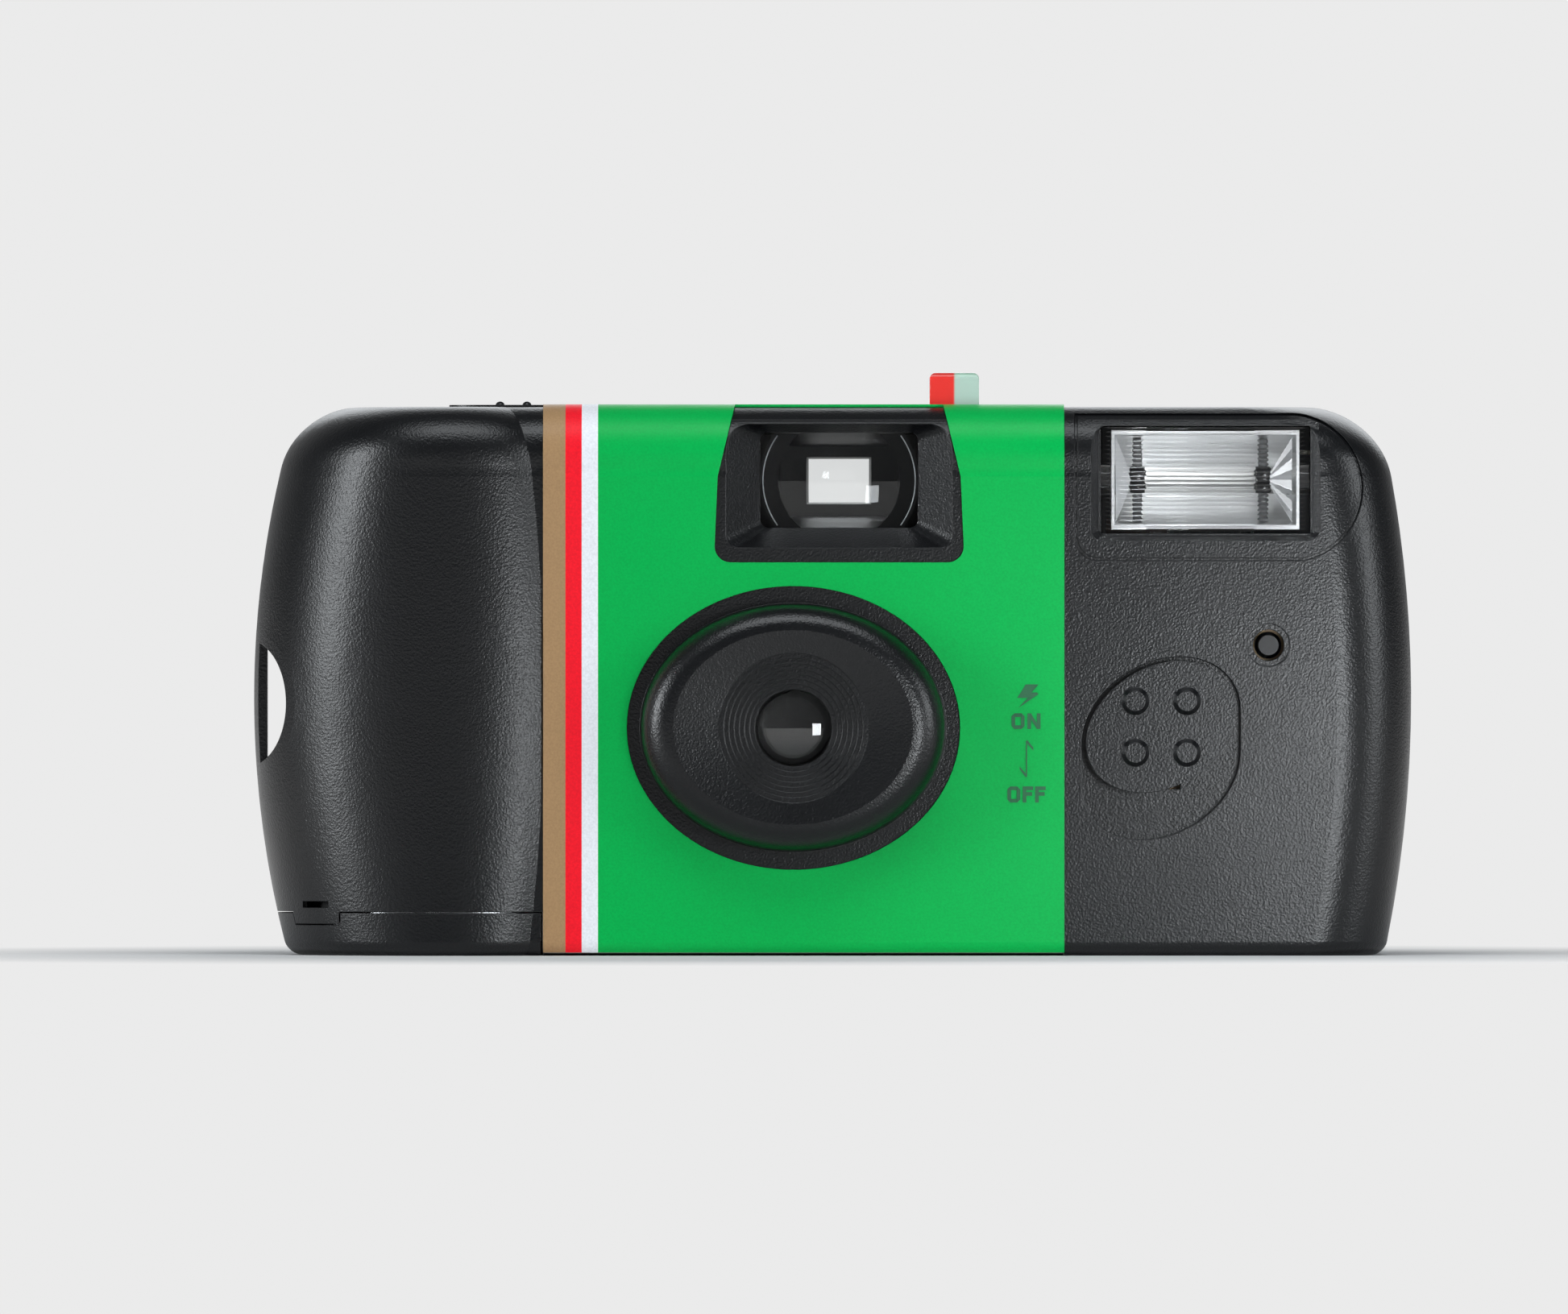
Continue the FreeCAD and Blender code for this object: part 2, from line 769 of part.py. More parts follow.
def taking_lens():
    blank = rod_y(lens_x, lens_z, lens_r, lens_front_y, lens_front_y + lens_thickness + 2)
    front = Part.makeSphere(lens_front_curve_r, V(lens_x, lens_front_y + lens_front_curve_r, lens_z))
    back_y = lens_front_y + lens_thickness + lens_back_curve_r
    back = Part.makeSphere(lens_back_curve_r, V(lens_x, back_y, lens_z))
    return blank.common(front).cut(back)


def lens_holder():
    ring = rod_y(lens_x, lens_z, holder_r, hub_back_y, shutter_y - near)
    pad = block(lens_x - 3.5, lens_x + 3.5, shutter_y - 0.6, body_front_y, lens_z - 7.3, lens_z - 5.6)
    bore = rod_y(lens_x, lens_z, lens_r + 0.1, hub_back_y - 1, lens_front_y + 3.3)
    eye = rod_y(lens_x, lens_z, holder_eye_r, hub_back_y, 0)
    return join(ring, pad).cut([bore, eye])


def finder_lens():
    blank = rod_y(finder_x, finder_z, finder_half_x + 0.2, finder_back_y + 0.15, finder_back_y + 1.75)
    trim = block(-far, far, -far, far, finder_z - finder_half_z - 0.1, finder_z + finder_half_z)
    hollow = Part.makeSphere(finder_hollow_r, V(finder_x, finder_back_y + 1.0 + finder_hollow_r, finder_z))
    return blank.common(trim).cut(hollow)


def finder_eyepiece():
    back = case_back_y - eyepiece_sink
    lens = block(
        finder_x - eyepiece_half_x, finder_x + eyepiece_half_x, back - eyepiece_t, back,
        finder_z - eyepiece_half_z, finder_z + eyepiece_half_z)
    dome = Part.makeSphere(eyepiece_curve_r, V(finder_x, back - eyepiece_curve_r, finder_z))
    return lens.common(dome)


def finder_housing():
    x0 = finder_x - finder_half_x - 0.2 - finder_wall
    x1 = finder_x + finder_half_x + 0.2 + finder_wall
    z0 = finder_z - finder_half_z - 0.1 - finder_wall
    z1 = finder_z + finder_half_z + finder_wall
    rear_x = eyepiece_half_x + 1.2
    rear_z = eyepiece_half_z + 0.3
    front = block(x0, x1, finder_back_y + 0.05, 9.5, z0, z1)
    rear = block(finder_x - rear_x, finder_x + rear_x, 9.0, case_back_y - wall - 0.5,
                 finder_z - rear_z, finder_z + rear_z)
    bore = block(x0 + finder_wall, x1 - finder_wall, -far / 4, 8.7, z0 + finder_wall, z1 - finder_wall)
    hole = block(finder_x - eyepiece_half_x - near / 2, finder_x + eyepiece_half_x + near / 2, 8, far,
                 finder_z - eyepiece_half_z, finder_z + eyepiece_half_z)
    return join(front, rear).cut([bore, hole])


# Frame that carries film and mechanism


def film_front(x):
    return film_y - film_curve_r + math.sqrt(film_curve_r ** 2 - (x - lens_x) ** 2)


sprocket_r = perf_pitch * sprocket_teeth / (2 * math.pi) - film_t / 2
tooth_tip_r = sprocket_r + tooth_h
sprocket_y = film_front(sprocket_x) - film_t / 2 - tooth_tip_r - 2 * near
slope = (roll_end_x - lens_x) / math.sqrt(film_curve_r ** 2 - (roll_end_x - lens_x) ** 2)
roll_drop = film_front(roll_end_x) - slope * (roll_x - roll_end_x) - roll_y
roll_r = roll_drop / math.sqrt(1 + slope ** 2) - film_t / 2


def gate_half(y, gate_half_size, grow):
    share = (y - body_front_y) / (gate_back_y - body_front_y)
    return cone_half + (gate_half_size - cone_half) * share + grow


def cone_top(y):
    return gate_z + gate_half(y, gate_h / 2, cone_wall)


def light_cone(y0, y1, grow):
    wires = []
    for y in (y0, y1):
        hx = gate_half(y, gate_w / 2, grow)
        hz = gate_half(y, gate_h / 2, grow)
        points = [(-hx, -hz), (hx, -hz), (hx, hz), (-hx, hz), (-hx, -hz)]
        wires.append(Part.makePolygon([V(lens_x + x, y, gate_z + z) for x, z in points]))
    return Part.makeLoft(wires, True, True)


def film_plate():
    back = rod_z(lens_x, film_y - film_curve_r, film_curve_r - film_t / 2 - 0.02, 0, case_top_z)
    front = rod_z(lens_x, film_y - film_curve_r, film_curve_r - film_t / 2 - 1.2, 0, case_top_z)
    zone = block(lens_x - gate_w / 2 - 1.9, lens_x + gate_w / 2 + 4.0, 8, 14, film_z0 - 1.2, film_z1 + near)
    return back.cut(front).common(zone)


def cartridge_chamber():
    ring_r = cart_r + chamber_gap + chamber_wall
    ring = rod_z(cart_x, cart_y, ring_r, door_lip_z + play, wheel_z0 - 0.15)
    bore = rod_z(cart_x, cart_y, cart_r + chamber_gap, 0, far)
    lip_slot = block(cart_x + 3, cart_x + ring_r + 1, cart_y + 6.0, far, 0, film_z1 + 2)
    return ring.cut([bore, lip_slot])


def supply_chamber():
    ring_r = roll_r + roll_gap + roll_wall
    top_z = film_z1 + 0.8
    ring = rod_z(roll_x, roll_y, ring_r, film_z0 - 1.6, top_z)
    bore = rod_z(roll_x, roll_y, roll_r + roll_gap, film_z0 - 0.6, top_z + 1)
    slot = block(roll_x - ring_r - 1, roll_x - 1, roll_y + 5.6, far, film_z0 - 0.6, top_z + 1)
    flash_room = block(roll_x - 12, roll_x + 12, -far, roll_y - roll_r - 0.2, flash_z - flash_half_z - 0.6, far)
    bridge = block(roll_x - ring_r + 0.2, roll_x + ring_r - 0.2, roll_y - 2, roll_y + 2, top_z, top_z + 1.0)
    spindle = rod_z(roll_x, roll_y, spindle_r + spindle_gap, 0, far)
    return join(ring.cut([bore, slot, flash_room]), bridge).cut(spindle)


def main_body():
    ring_z0 = door_lip_z + play
    edge_x = lens_x + gate_w / 2
    web = block(cart_x + 12.7, cart_x + 14.2, 4.8, 12.2, ring_z0, lever_z0)
    web = web.cut(rod_z(cart_x, cart_y, cart_r + chamber_gap, 0, far))
    roll_web = block(edge_x + 2.8, edge_x + 6.8, roll_y + 5.0, 11.8, film_z0 - 0.6, film_z1 - 0.2)
    roll_web = roll_web.cut(rod_z(roll_x, roll_y, roll_r + roll_gap, 0, far))
    cone = light_cone(body_front_y, gate_back_y + 0.4, cone_wall)
    front = block(
        lens_x - 10.5, lens_x + 13.6, body_front_y, body_front_y + body_front_t, lens_z - 8.6, gate_z + 9.7)
    deck = block(cart_x + 13.1, -9.0, -8.6, 8.4, deck_z0, deck_z1)
    leg = block(cart_x + 13.6, sprocket_x - 3.4, 8.0, 11.6, film_z1 - 1.4, deck_z1)
    sprocket_boss = rod_z(sprocket_x, sprocket_y, 2.2, cone_top(sprocket_y) - 0.5, perf_z - 2.1)
    lever_post = rod_z(lever_x, lever_y, 2.0, cone_top(lever_y) - 0.6, lever_z0 - near)
    lever_pin = rod_z(lever_x, lever_y, lever_pin_r, cone_top(lever_y) - 0.6, finder_z - finder_half_z - 1.0)
    finder_posts = [rod_z(finder_x + dx, finder_post_y, finder_post_r, cone_top(finder_post_y) - 0.6,
                          finder_z - finder_half_z - finder_wall - near) for dx in (-5.85, 5.85)]
    bracket = block(roll_x + 7.0, post_x + 1.9, -3.0, -1.8, post_z - 2.9, post_z + 3.1)
    bracket = bracket.cut(rod_z(roll_x, roll_y, roll_r + roll_gap, 0, far))
    post = rod_y(post_x, post_z, post_r, post_tip_y, -2.0)
    brackets = [block(release_x - 1.2, release_x + 1.2, y, y + 0.9, release_z - 1.4, deck_z0 + 0.2)
                for y in (release_y - 2.9, release_y + 2.0)]
    dial_pin = rod_z(dial_x, dial_y, dial_pin_r, deck_z1 - 2 * near, dial_z0 + dial_t + near)
    dial_seat = rod_z(dial_x, dial_y, 1.6, deck_z1 - 2 * near, dial_z0 - dial_t - near)
    blade_pin = rod_y(blade_x, blade_z, blade_pin_r, shutter_y, body_front_y + 2 * near)
    shape = join(
        cartridge_chamber(), supply_chamber(), cone, film_plate(), front, web, roll_web, deck, leg,
        sprocket_boss, lever_post, lever_pin, bracket, post, dial_pin, dial_seat, blade_pin,
        *finder_posts, *brackets)
    return shape.cut([
        light_cone(body_front_y + body_front_t, gate_back_y + 1.6, 0.0),
        rod_y(lens_x, lens_z, aperture_r, body_front_y - 1, body_front_y + 2),
        block(
            sprocket_x - tooth_tip_r - near, sprocket_x + tooth_tip_r + near, 9.0, far, perf_z - 1.3, perf_z + 1.3),
        rod_z(sprocket_x, sprocket_y, 0.85, perf_z - 2.8, perf_z),
        rod_z(sprocket_x, sprocket_y, 1.55, deck_z0 - 1, deck_z1 + 1),
        block(leg_x0, leg_x1, button_leg_y0 - play, button_leg_y1 + play, deck_z0 - 1, deck_z1 + 1),
        rod_y(release_x, release_z, release_pin_r + near / 2, release_y - 4, release_y + 4),
    ])


# Film, its cartridge and spools


def cartridge_shell():
    z1 = cart_z1
    can = rod_z(cart_x, cart_y, cart_r, cart_z0 + 0.45, z1 - 0.45)
    can = can.cut(rod_z(cart_x, cart_y, cart_r - 0.3, 0, far))
    lips = [lip_plate(offset, 0.3, lip_x0, lip_x1) for offset in (-0.85, 0.55)]
    mouth = lip_plate(-0.55, 1.1, lip_x0 - 1.5, lip_x1 + 1)
    return join(can, *lips).cut(mouth)


def lip_plate(offset, thickness, x0, x1):
    edge_x = lens_x - gate_w / 2
    lean = (edge_x - lens_x) / math.sqrt(film_curve_r ** 2 - (edge_x - lens_x) ** 2)

    def line(x, extra):
        return (x, film_front(edge_x) - lean * (x - edge_x) + offset + extra)

    points = [line(x0, 0), line(x1, 0), line(x1, thickness), line(x0, thickness)]
    return polygon_prism_z(points, film_z0 - 2.0, film_z1 + 2.0)


def cartridge_felt():
    return join(lip_plate(-0.52, 0.4, lip_x0 + 1.2, lip_x1), lip_plate(0.12, 0.4, lip_x0 + 1.2, lip_x1))


def cartridge_caps():
    caps = []
    for z, rim in ((cart_z0, cart_z0), (cart_z1 - 0.4, cart_z1 - 1.6)):
        disc = rod_z(cart_x, cart_y, cart_r + 0.25, z, z + 0.4)
        skirt = rod_z(cart_x, cart_y, cart_r + 0.25, rim, rim + 1.6).cut(
            rod_z(cart_x, cart_y, cart_r + 0.02, 0, far))
        caps.append(join(disc, skirt).cut(rod_z(cart_x, cart_y, spool_r - 0.5, 0, far)))
    return Part.makeCompound(caps)


def cartridge_spool():
    z1 = cart_z1
    core = rod_z(cart_x, cart_y, spool_r, cart_z0 + 1.4, z1 - 1.4)
    necks = rod_z(cart_x, cart_y, spool_r - 0.6, cart_z0 + 0.1, z1 - 0.1)
    flanges = [rod_z(cart_x, cart_y, cart_r - 1.2, z, z + 0.8) for z in (cart_z0 + 1.4, z1 - 2.2)]
    socket = rod_z(cart_x, cart_y, 4.2, z1 - 3.5, far)
    bar = block(cart_x - 4.4, cart_x + 4.4, cart_y - 0.6, cart_y + 0.6, z1 - 3.5, z1 - 0.6)
    return join(join(core, necks, *flanges).cut(socket), bar)


def thumbwheel():
    points = []
    for i in range(wheel_teeth * 2):
        angle = math.pi * i / wheel_teeth
        r = wheel_r if i % 2 == 0 else wheel_r - wheel_tooth_depth
        points.append((cart_x + r * math.cos(angle), cart_y + r * math.sin(angle)))
    rim = polygon_prism_z(points, wheel_z0, wheel_z1)
    dish = rod_z(cart_x, cart_y, wheel_r - 2.0, wheel_z1 - 0.7, far)
    boss = rod_z(cart_x, cart_y, 3.2, wheel_z1 - 0.8, wheel_z1 + 0.2)
    fork = rod_z(cart_x, cart_y, 3.8, cart_z1 - 3.2, wheel_z0 + near)
    slot = block(cart_x - 5, cart_x + 5, cart_y - 0.8, cart_y + 0.8, 0, wheel_z0 - 0.4)
    bore = rod_z(cart_x, cart_y, wheel_pin_r + 0.06, wheel_z0 + 0.5, far)
    return join(rim.cut(dish), boss, fork.cut(slot)).cut(bore)


def film_band(inner_offset, outer_offset):
    """Closed plan outline of the film from the supply roll to the cartridge."""
    left_x = lens_x - gate_w / 2
    lean_left = (left_x - lens_x) / math.sqrt(film_curve_r ** 2 - (left_x - lens_x) ** 2)
    end_x0 = lip_x0 - 0.6
    sides = []
    for offset in (inner_offset, outer_offset):
        r = film_curve_r + offset
        y0 = film_y - film_curve_r
        stops = (left_x - lens_x, 0, roll_end_x - lens_x)
        arc = [(lens_x + dx, y0 + math.sqrt(r ** 2 - dx ** 2)) for dx in stops]
        start = (end_x0, arc[0][1] - lean_left * (end_x0 - left_x))
        foot = roll_x + slope * roll_r / math.sqrt(1 + slope ** 2)
        stop = (foot, arc[2][1] - slope * (foot - roll_end_x))
        sides.append((start, arc, stop))
    return sides


def film_strip():
    inner, outer = film_band(-film_t / 2, film_t / 2)

    def point(p):
        return V(p[0], p[1], film_z0)

    def side(start, arc, stop):
        return [
            Part.LineSegment(point(start), point(arc[0])).toShape(),
            Part.Arc(*[point(p) for p in arc]).toShape(),
            Part.LineSegment(point(arc[2]), point(stop)).toShape(),
        ]

    ends = [Part.LineSegment(point(inner[i]), point(outer[i])).toShape() for i in (0, 2)]
    edges = Part.sortEdges(side(*inner) + side(*outer) + ends)[0]
    strip = Part.Face(Part.Wire(edges)).extrude(V(0, 0, film_h))
    holes = []
    count = int((roll_x - sprocket_x) / perf_pitch)
    for i in range(-1, count):
        x = sprocket_x + i * perf_pitch
        for z in (film_z0 + perf_edge, film_z1 - perf_edge - perf_h):
            holes.append(block(x - perf_w / 2, x + perf_w / 2, film_y - 4, film_y + 2, z, z + perf_h))
    return strip.cut(holes)


def film_roll():
    ring = rod_z(roll_x, roll_y, roll_r, film_z0, film_z1)
    return ring.cut(rod_z(roll_x, roll_y, roll_core_r, 0, far))


def supply_spool():
    core = rod_z(roll_x, roll_y, roll_core_r, film_z0 - 0.3, film_z1 + 0.4)
    pin = rod_z(roll_x, roll_y, spindle_r, film_z0 - 1.6, film_z1 + 2.4)
    hollow = rod_z(roll_x, roll_y, roll_core_r - 1.1, film_z0 + 1.5, film_z1 - 1.5)
    hollow = hollow.cut(rod_z(roll_x, roll_y, spindle_r, 0, far))
    return join(core, pin).cut(hollow)


# Sprocket, counter and shutter drive


def sprocket_wheel():
    half = 1.0
    disc = rod_z(sprocket_x, sprocket_y, sprocket_r - near, perf_z - half, perf_z + half)
    teeth = []
    for i in range(sprocket_teeth):
        tip = tooth_tip_r
        points = [(sprocket_r - 0.5, -0.7), (tip - 0.3, -0.45), (tip, -0.2), (tip, 0.2), (tip - 0.3, 0.45),
                  (sprocket_r - 0.5, 0.7)]
        tooth = polygon_prism_z(points, perf_z - 0.6, perf_z + 0.6)
        tooth.rotate(V(0, 0, 0), V(0, 0, 1), 90 + 360.0 * i / sprocket_teeth)
        tooth.translate(V(sprocket_x, sprocket_y, 0))
        teeth.append(tooth)
    shaft = rod_z(sprocket_x, sprocket_y, 1.5, perf_z - 2.0, dial_z0 - dial_t - play)
    pin = rod_z(sprocket_x, sprocket_y, 0.8, perf_z - 2.7, perf_z - 1.9)
    cam = rod_z(sprocket_x - 1.0, sprocket_y, 2.0, perf_z + half + 0.4, perf_z + half + 1.6)
    return join(disc, shaft, pin, cam, *teeth)


def counter_dial():
    disc = rod_z(dial_x, dial_y, dial_r, dial_z0, dial_z0 + dial_t)
    points = []
    for i in range(60):
        angle = math.pi * i / 30
        r = 4.0 if i % 2 == 0 else 3.5
        points.append((dial_x + r * math.cos(angle), dial_y + r * math.sin(angle)))
    gear = polygon_prism_z(points, dial_z0 - dial_t, dial_z0 + near)
    return join(disc, gear).cut(rod_z(dial_x, dial_y, dial_pin_r + 0.05, 0, far))


def counter_window():
    x0 = dial_x - dial_r + 0.5
    return block(x0, dial_x - 1.7, dial_y - 2.1, dial_y + 2.1, case_top_z - 1.1, case_top_z - near)


def drive_lever():
    z1 = lever_z0 + lever_t
    hub = rod_z(lever_x, lever_y, 2.2, lever_z0, z1)
    front = block(lever_x - 0.7, lever_x + 0.7, shutter_y, lever_y, lever_z0, z1)
    side = polygon_prism_z([
        (lever_x, lever_y - 1.1), (lever_x, lever_y + 1.1),
        (follower_x, follower_y + follower_r), (follower_x, follower_y - follower_r)], lever_z0, z1)
    follower = rod_z(follower_x, follower_y, follower_r, lever_z0, perf_z + 1.2)
    return join(hub, front, side, follower).cut(rod_z(lever_x, lever_y, lever_pin_r + 0.05, 0, far))


def drive_spring():
    return coil(lever_x, lever_y, lever_z0 + lever_t + play, 1.5, 0.16, 0.5, 3)


def shutter_blade():
    y0 = shutter_y + 0.25
    y1 = y0 + blade_t
    hub = rod_y(blade_x, blade_z, 1.8, y0, y1)
    disc = rod_y(lens_x, lens_z, 3.0, y0, y1)
    dx = lens_x - blade_x
    dz = lens_z - blade_z
    length = math.hypot(dx, dz)
    nx = -dz / length
    nz = dx / length
    arm = polygon_prism_y([
        (blade_x + nx * 1.7, blade_z + nz * 1.7), (lens_x + nx * 2.8, lens_z + nz * 2.8),
        (lens_x - nx * 2.8, lens_z - nz * 2.8), (blade_x - nx * 1.7, blade_z - nz * 1.7)], y0, y1)
    tail = block(blade_x - 0.8, blade_x + 0.8, y0, y1, blade_z, lever_z0 + lever_t)
    return join(hub, disc, arm, tail).cut(rod_y(blade_x, blade_z, blade_pin_r + 0.05, y0 - 1, y1 + 1))


def blade_spring():
    spring = coil(0, 0, 0, 1.25, 0.12, 0.27, 2)
    spring.rotate(V(0, 0, 0), V(1, 0, 0), 90)
    spring.translate(V(blade_x, shutter_y + 0.05, blade_z))
    return spring


def release_lever():
    y0 = release_y - 1.7
    y1 = release_y + 1.7
    hub = rod_y(release_x, release_z, release_hub_r, y0, y1)
    arm = block(leg_x0 + 0.4, release_x, y0 + 0.4, y1 - 0.4, release_z - 0.5, release_z + 0.7)
    catch = block(release_x + 0.4, release_x + 1.7, y0 + 0.4, y1 - 0.4, release_z - 4.8, release_z)
    pin = rod_y(release_x, release_z, release_pin_r, release_y - 2.9, release_y + 2.9)
    return join(hub, arm, catch, pin)


def shutter_button():
    collar_z1 = case_top_z - wall - near
    cap = button_prism(0.0, button_z0, button_top_z)
    flange = button_prism(0.6, button_z0, collar_z1)
    arm = block(button_x, leg_x1 - play, button_leg_y0, button_leg_y1, button_z0, collar_z1)
    leg = block(leg_x0 + play, leg_x1 - play, button_leg_y0, button_leg_y1, release_z + 0.9, button_z0 + 0.5)
    pad = block(leg_x1 - 1.0, spring_x + spring_r + near, spring_y - 1.4, spring_y + 0.9, button_z0, collar_z1)
    dots = [Part.makeSphere(button_dot_r, V(button_x + dx, button_y, button_top_z - near))
            for dx in (-button_dot_x, button_dot_x)]
    return join(cap, flange, arm, leg, pad, *dots)


def button_spring():
    length = button_z0 - deck_z1 - 2 * spring_wire_r - 0.02
    foot_z = deck_z1 + spring_wire_r
    return coil(spring_x, spring_y, foot_z, spring_r, spring_wire_r, length / spring_turns, spring_turns)


def wind_pawl():
    base = block(cart_x + 13.3, cart_x + 17.3, 5.4, 8.2, deck_z1, deck_z1 + 0.7)
    finger = block(cart_x + 10.9, cart_x + 14.0, 6.1, 7.3, deck_z1 + 0.4, deck_z1 + 1.1)
    clear = rod_z(cart_x, cart_y, wheel_r + 0.25, 0, far)
    return join(base, finger).cut(clear)


# Flash and its circuit


def flash_window():
    x0 = flash_x - flash_half_x
    x1 = flash_x + flash_half_x
    z0 = flash_z - flash_half_z
    z1 = flash_z + flash_half_z
    pane = block(x0, x1, flash_front_y, flash_front_y + flash_pane_t, z0, z1)
    ribs = []
    foot_y = flash_front_y + flash_pane_t - near / 2
    tip_y = flash_front_y + flash_window_t - near / 2
    edge_x = x0 + 0.6
    pitch = (z1 - z0 - 0.8) / flash_ribs
    for i in range(flash_ribs):
        z = z0 + 0.4 + pitch * i
        foot = V(edge_x, foot_y, z)
        rib = Part.makePolygon([foot, V(edge_x, foot_y, z + pitch), V(edge_x, tip_y, z + pitch / 2), foot])
        ribs.append(Part.Face(rib).extrude(V(x1 - x0 - 1.2, 0, 0)))
    return join(pane, *ribs)


def reflector_profile(grow, x):
    front_y = flash_front_y + flash_window_t
    half = flash_half_z - 0.55
    points = []
    steps = 8
    for i in range(-steps, steps + 1):
        share = i / steps
        y = reflector_back_y + grow - (reflector_back_y - front_y) * share ** 2
        points.append(V(x, y, flash_z + (half + grow) * share))
    curve = Part.BSplineCurve()
    curve.interpolate(points)
    return Part.Wire([curve.toShape(), Part.LineSegment(points[-1], points[0]).toShape()])


def flash_reflector():
    x0 = flash_x - flash_half_x + reflector_gap
    x1 = flash_x + flash_half_x - reflector_gap
    outer = Part.Face(reflector_profile(reflector_t, x0)).extrude(V(x1 - x0, 0, 0))
    inner = Part.Face(reflector_profile(0.0, x0 + reflector_t)).extrude(V(x1 - x0 - 2 * reflector_t, 0, 0))
    hole = rod_x(tube_y, flash_z, tube_r + 0.1, x0 - 1, x1 + 1)
    return outer.cut([inner, hole])


def flash_tube():
    return rod_x(tube_y, flash_z, tube_r, flash_x - flash_half_x - 0.4, flash_x + flash_half_x + 0.4)


def tube_caps():
    caps = []
    for x in (flash_x - flash_half_x - 0.4 - tube_cap, flash_x + flash_half_x + 0.4):
        caps.append(rod_x(tube_y, flash_z, tube_r - 0.2, x, x + tube_cap))
    return Part.makeCompound(caps)


def circuit_board():
    plate = block(board_x0, board_x1, board_y, board_y + board_t, board_z0, board_z1)
    notch = block(board_x0 - 1, cap_x1 + 3, board_y - 1, board_y + 2, 0, cap_z + cap_r + 1.6)
    hole = rod_y(post_x, post_z, post_r + 0.3, board_y - 1, board_y + 2)
    return plate.cut([notch, hole])


def main_capacitor():
    can = rod_x(cap_y, cap_z, cap_r, cap_x0, cap_x1)
    groove = rod_x(cap_y, cap_z, cap_r + 1, cap_x1 - 3.0, cap_x1 - 2.2).cut(
        rod_x(cap_y, cap_z, cap_r - 0.4, cap_x1 - 4, cap_x1))
    leads = [block(cap_x1 - 0.1, cap_x1 + 3.9, cap_y + dy - 0.3, cap_y + dy + 0.3, cap_z - 0.3, cap_z + 0.3)
             for dy in (-1.25, 1.25)]
    return join(can.cut(groove), *leads)


def transformer():
    y0 = board_y + board_t
    core = block(board_x0 + 0.1, board_x0 + 4.3, y0, y0 + 6.0, 16.0, 23.0)
    coil_body = rod_z(board_x0 + 2.2, y0 + 3.0, 2.6, 17.2, 21.8)
    window = block(board_x0 - 1, board_x0 + 6, y0 + 1.0, y0 + 5.0, 17.2, 21.8)
    return join(core.cut(window), coil_body.common(core))


def trigger_coil():
    y0 = board_y + board_t
    bobbin = rod_z(board_x0 + 2.6, y0 + 2.6, 1.4, 26.0, 33.0)
    ends = [rod_z(board_x0 + 2.6, y0 + 2.6, 2.5, z, z + 0.8) for z in (26.0, 32.2)]
    foot = block(board_x0 + 1.6, board_x0 + 3.6, y0, y0 + 1.6, 26.0, 26.8)
    return join(bobbin, foot, *ends)


def transistor():
    return block(36.6, 41.2, board_y - 1.6, board_y, 12.0, 16.4)


def resistors():
    parts = []
    for i in range(4):
        x = 38.4 + 2.7 * i
        body = rod_z(x, board_y - 1.0, 0.8, 18.8, 22.8)
        leads = rod_z(x, board_y - 1.0, 0.25, 17.6, 24.0)
        feet = [block(x - 0.25, x + 0.25, board_y - 1.0, board_y, z, z + 0.4) for z in (17.6, 23.6)]
        parts.append(join(body, leads, *feet))
    return Part.makeCompound(parts)


def ready_lamp():
    z0 = board_z1 + near
    z1 = z0 + 7.4
    bulb = rod_z(lamp_x, lamp_y, lamp_r, z0, z1)
    tip = Part.makeSphere(lamp_r, V(lamp_x, lamp_y, z1))
    wires = []
    for x in (lamp_x - 0.7, lamp_x + 0.7):
        wires.append(block(x - 0.2, x + 0.2, lamp_y - 0.2, lamp_y + 0.2, z0 - 2.4, z0 + near))
        wires.append(block(x - 0.2, x + 0.2, board_y + board_t, lamp_y + 0.2, z0 - 2.4, z0 - 2.0))
    return join(bulb, tip, *wires)


def battery():
    can = rod_z(cell_x, cell_y, cell_r, cell_z0, cell_top_z - 0.8)
    nub = rod_z(cell_x, cell_y, 1.9, cell_top_z - 0.9, cell_top_z)
    return join(can, nub)


def contact_low():
    pad = rod_z(cell_x, cell_y, 3.4, cell_z0 - 0.5, cell_z0)
    strip = block(cell_x - 1.5, cell_x + 1.5, board_y + board_t, cell_y, cell_z0 - 0.5, cell_z0)
    leg_y = board_y + board_t
    leg = block(cell_x - 1.5, cell_x + 1.5, leg_y, leg_y + contact_t, cell_z0 - 0.5, board_z0 + 3)
    return join(pad, strip, leg)


def contact_top():
    z = cell_top_z
    z1 = z + contact_t
    pad = rod_z(cell_x, cell_y, 2.8, z, z1)
    bar_x = flash_x + flash_half_x + 2.2
    arm = block(cell_x, bar_x + 1.8, cell_y - 1.2, cell_y + 1.2, z, z1)
    strip = block(bar_x, bar_x + 1.8, board_y + board_t, cell_y, z, z1)
    leg = block(bar_x, bar_x + 1.8, board_y + board_t, board_y + board_t + contact_t, board_z1 - 3, z1)
    return join(pad, arm, strip, leg)


def sync_contact():
    strips = []
    for z in (21.6, 24.4):
        strip = block(8.9, board_x0, board_y - 0.25, board_y, z, z + 1.2)
        foot = block(board_x0 - 0.1, board_x0 + 2.0, board_y - 0.4, board_y, z, z + 1.2)
        strips.append(join(strip, foot))
    return Part.makeCompound(strips)


def charge_contact():
    base = block(37.2, 39.8, board_y - 0.4, board_y, 6.0, 10.5)
    leaf = block(37.8, 39.2, board_y - 1.6, board_y - 1.3, 6.0, 10.0)
    heel = block(37.8, 39.2, board_y - 1.6, board_y - 0.3, 6.0, 6.5)
    return join(base, leaf, heel)


# Flash switch: knob, carrier and light guide move as one


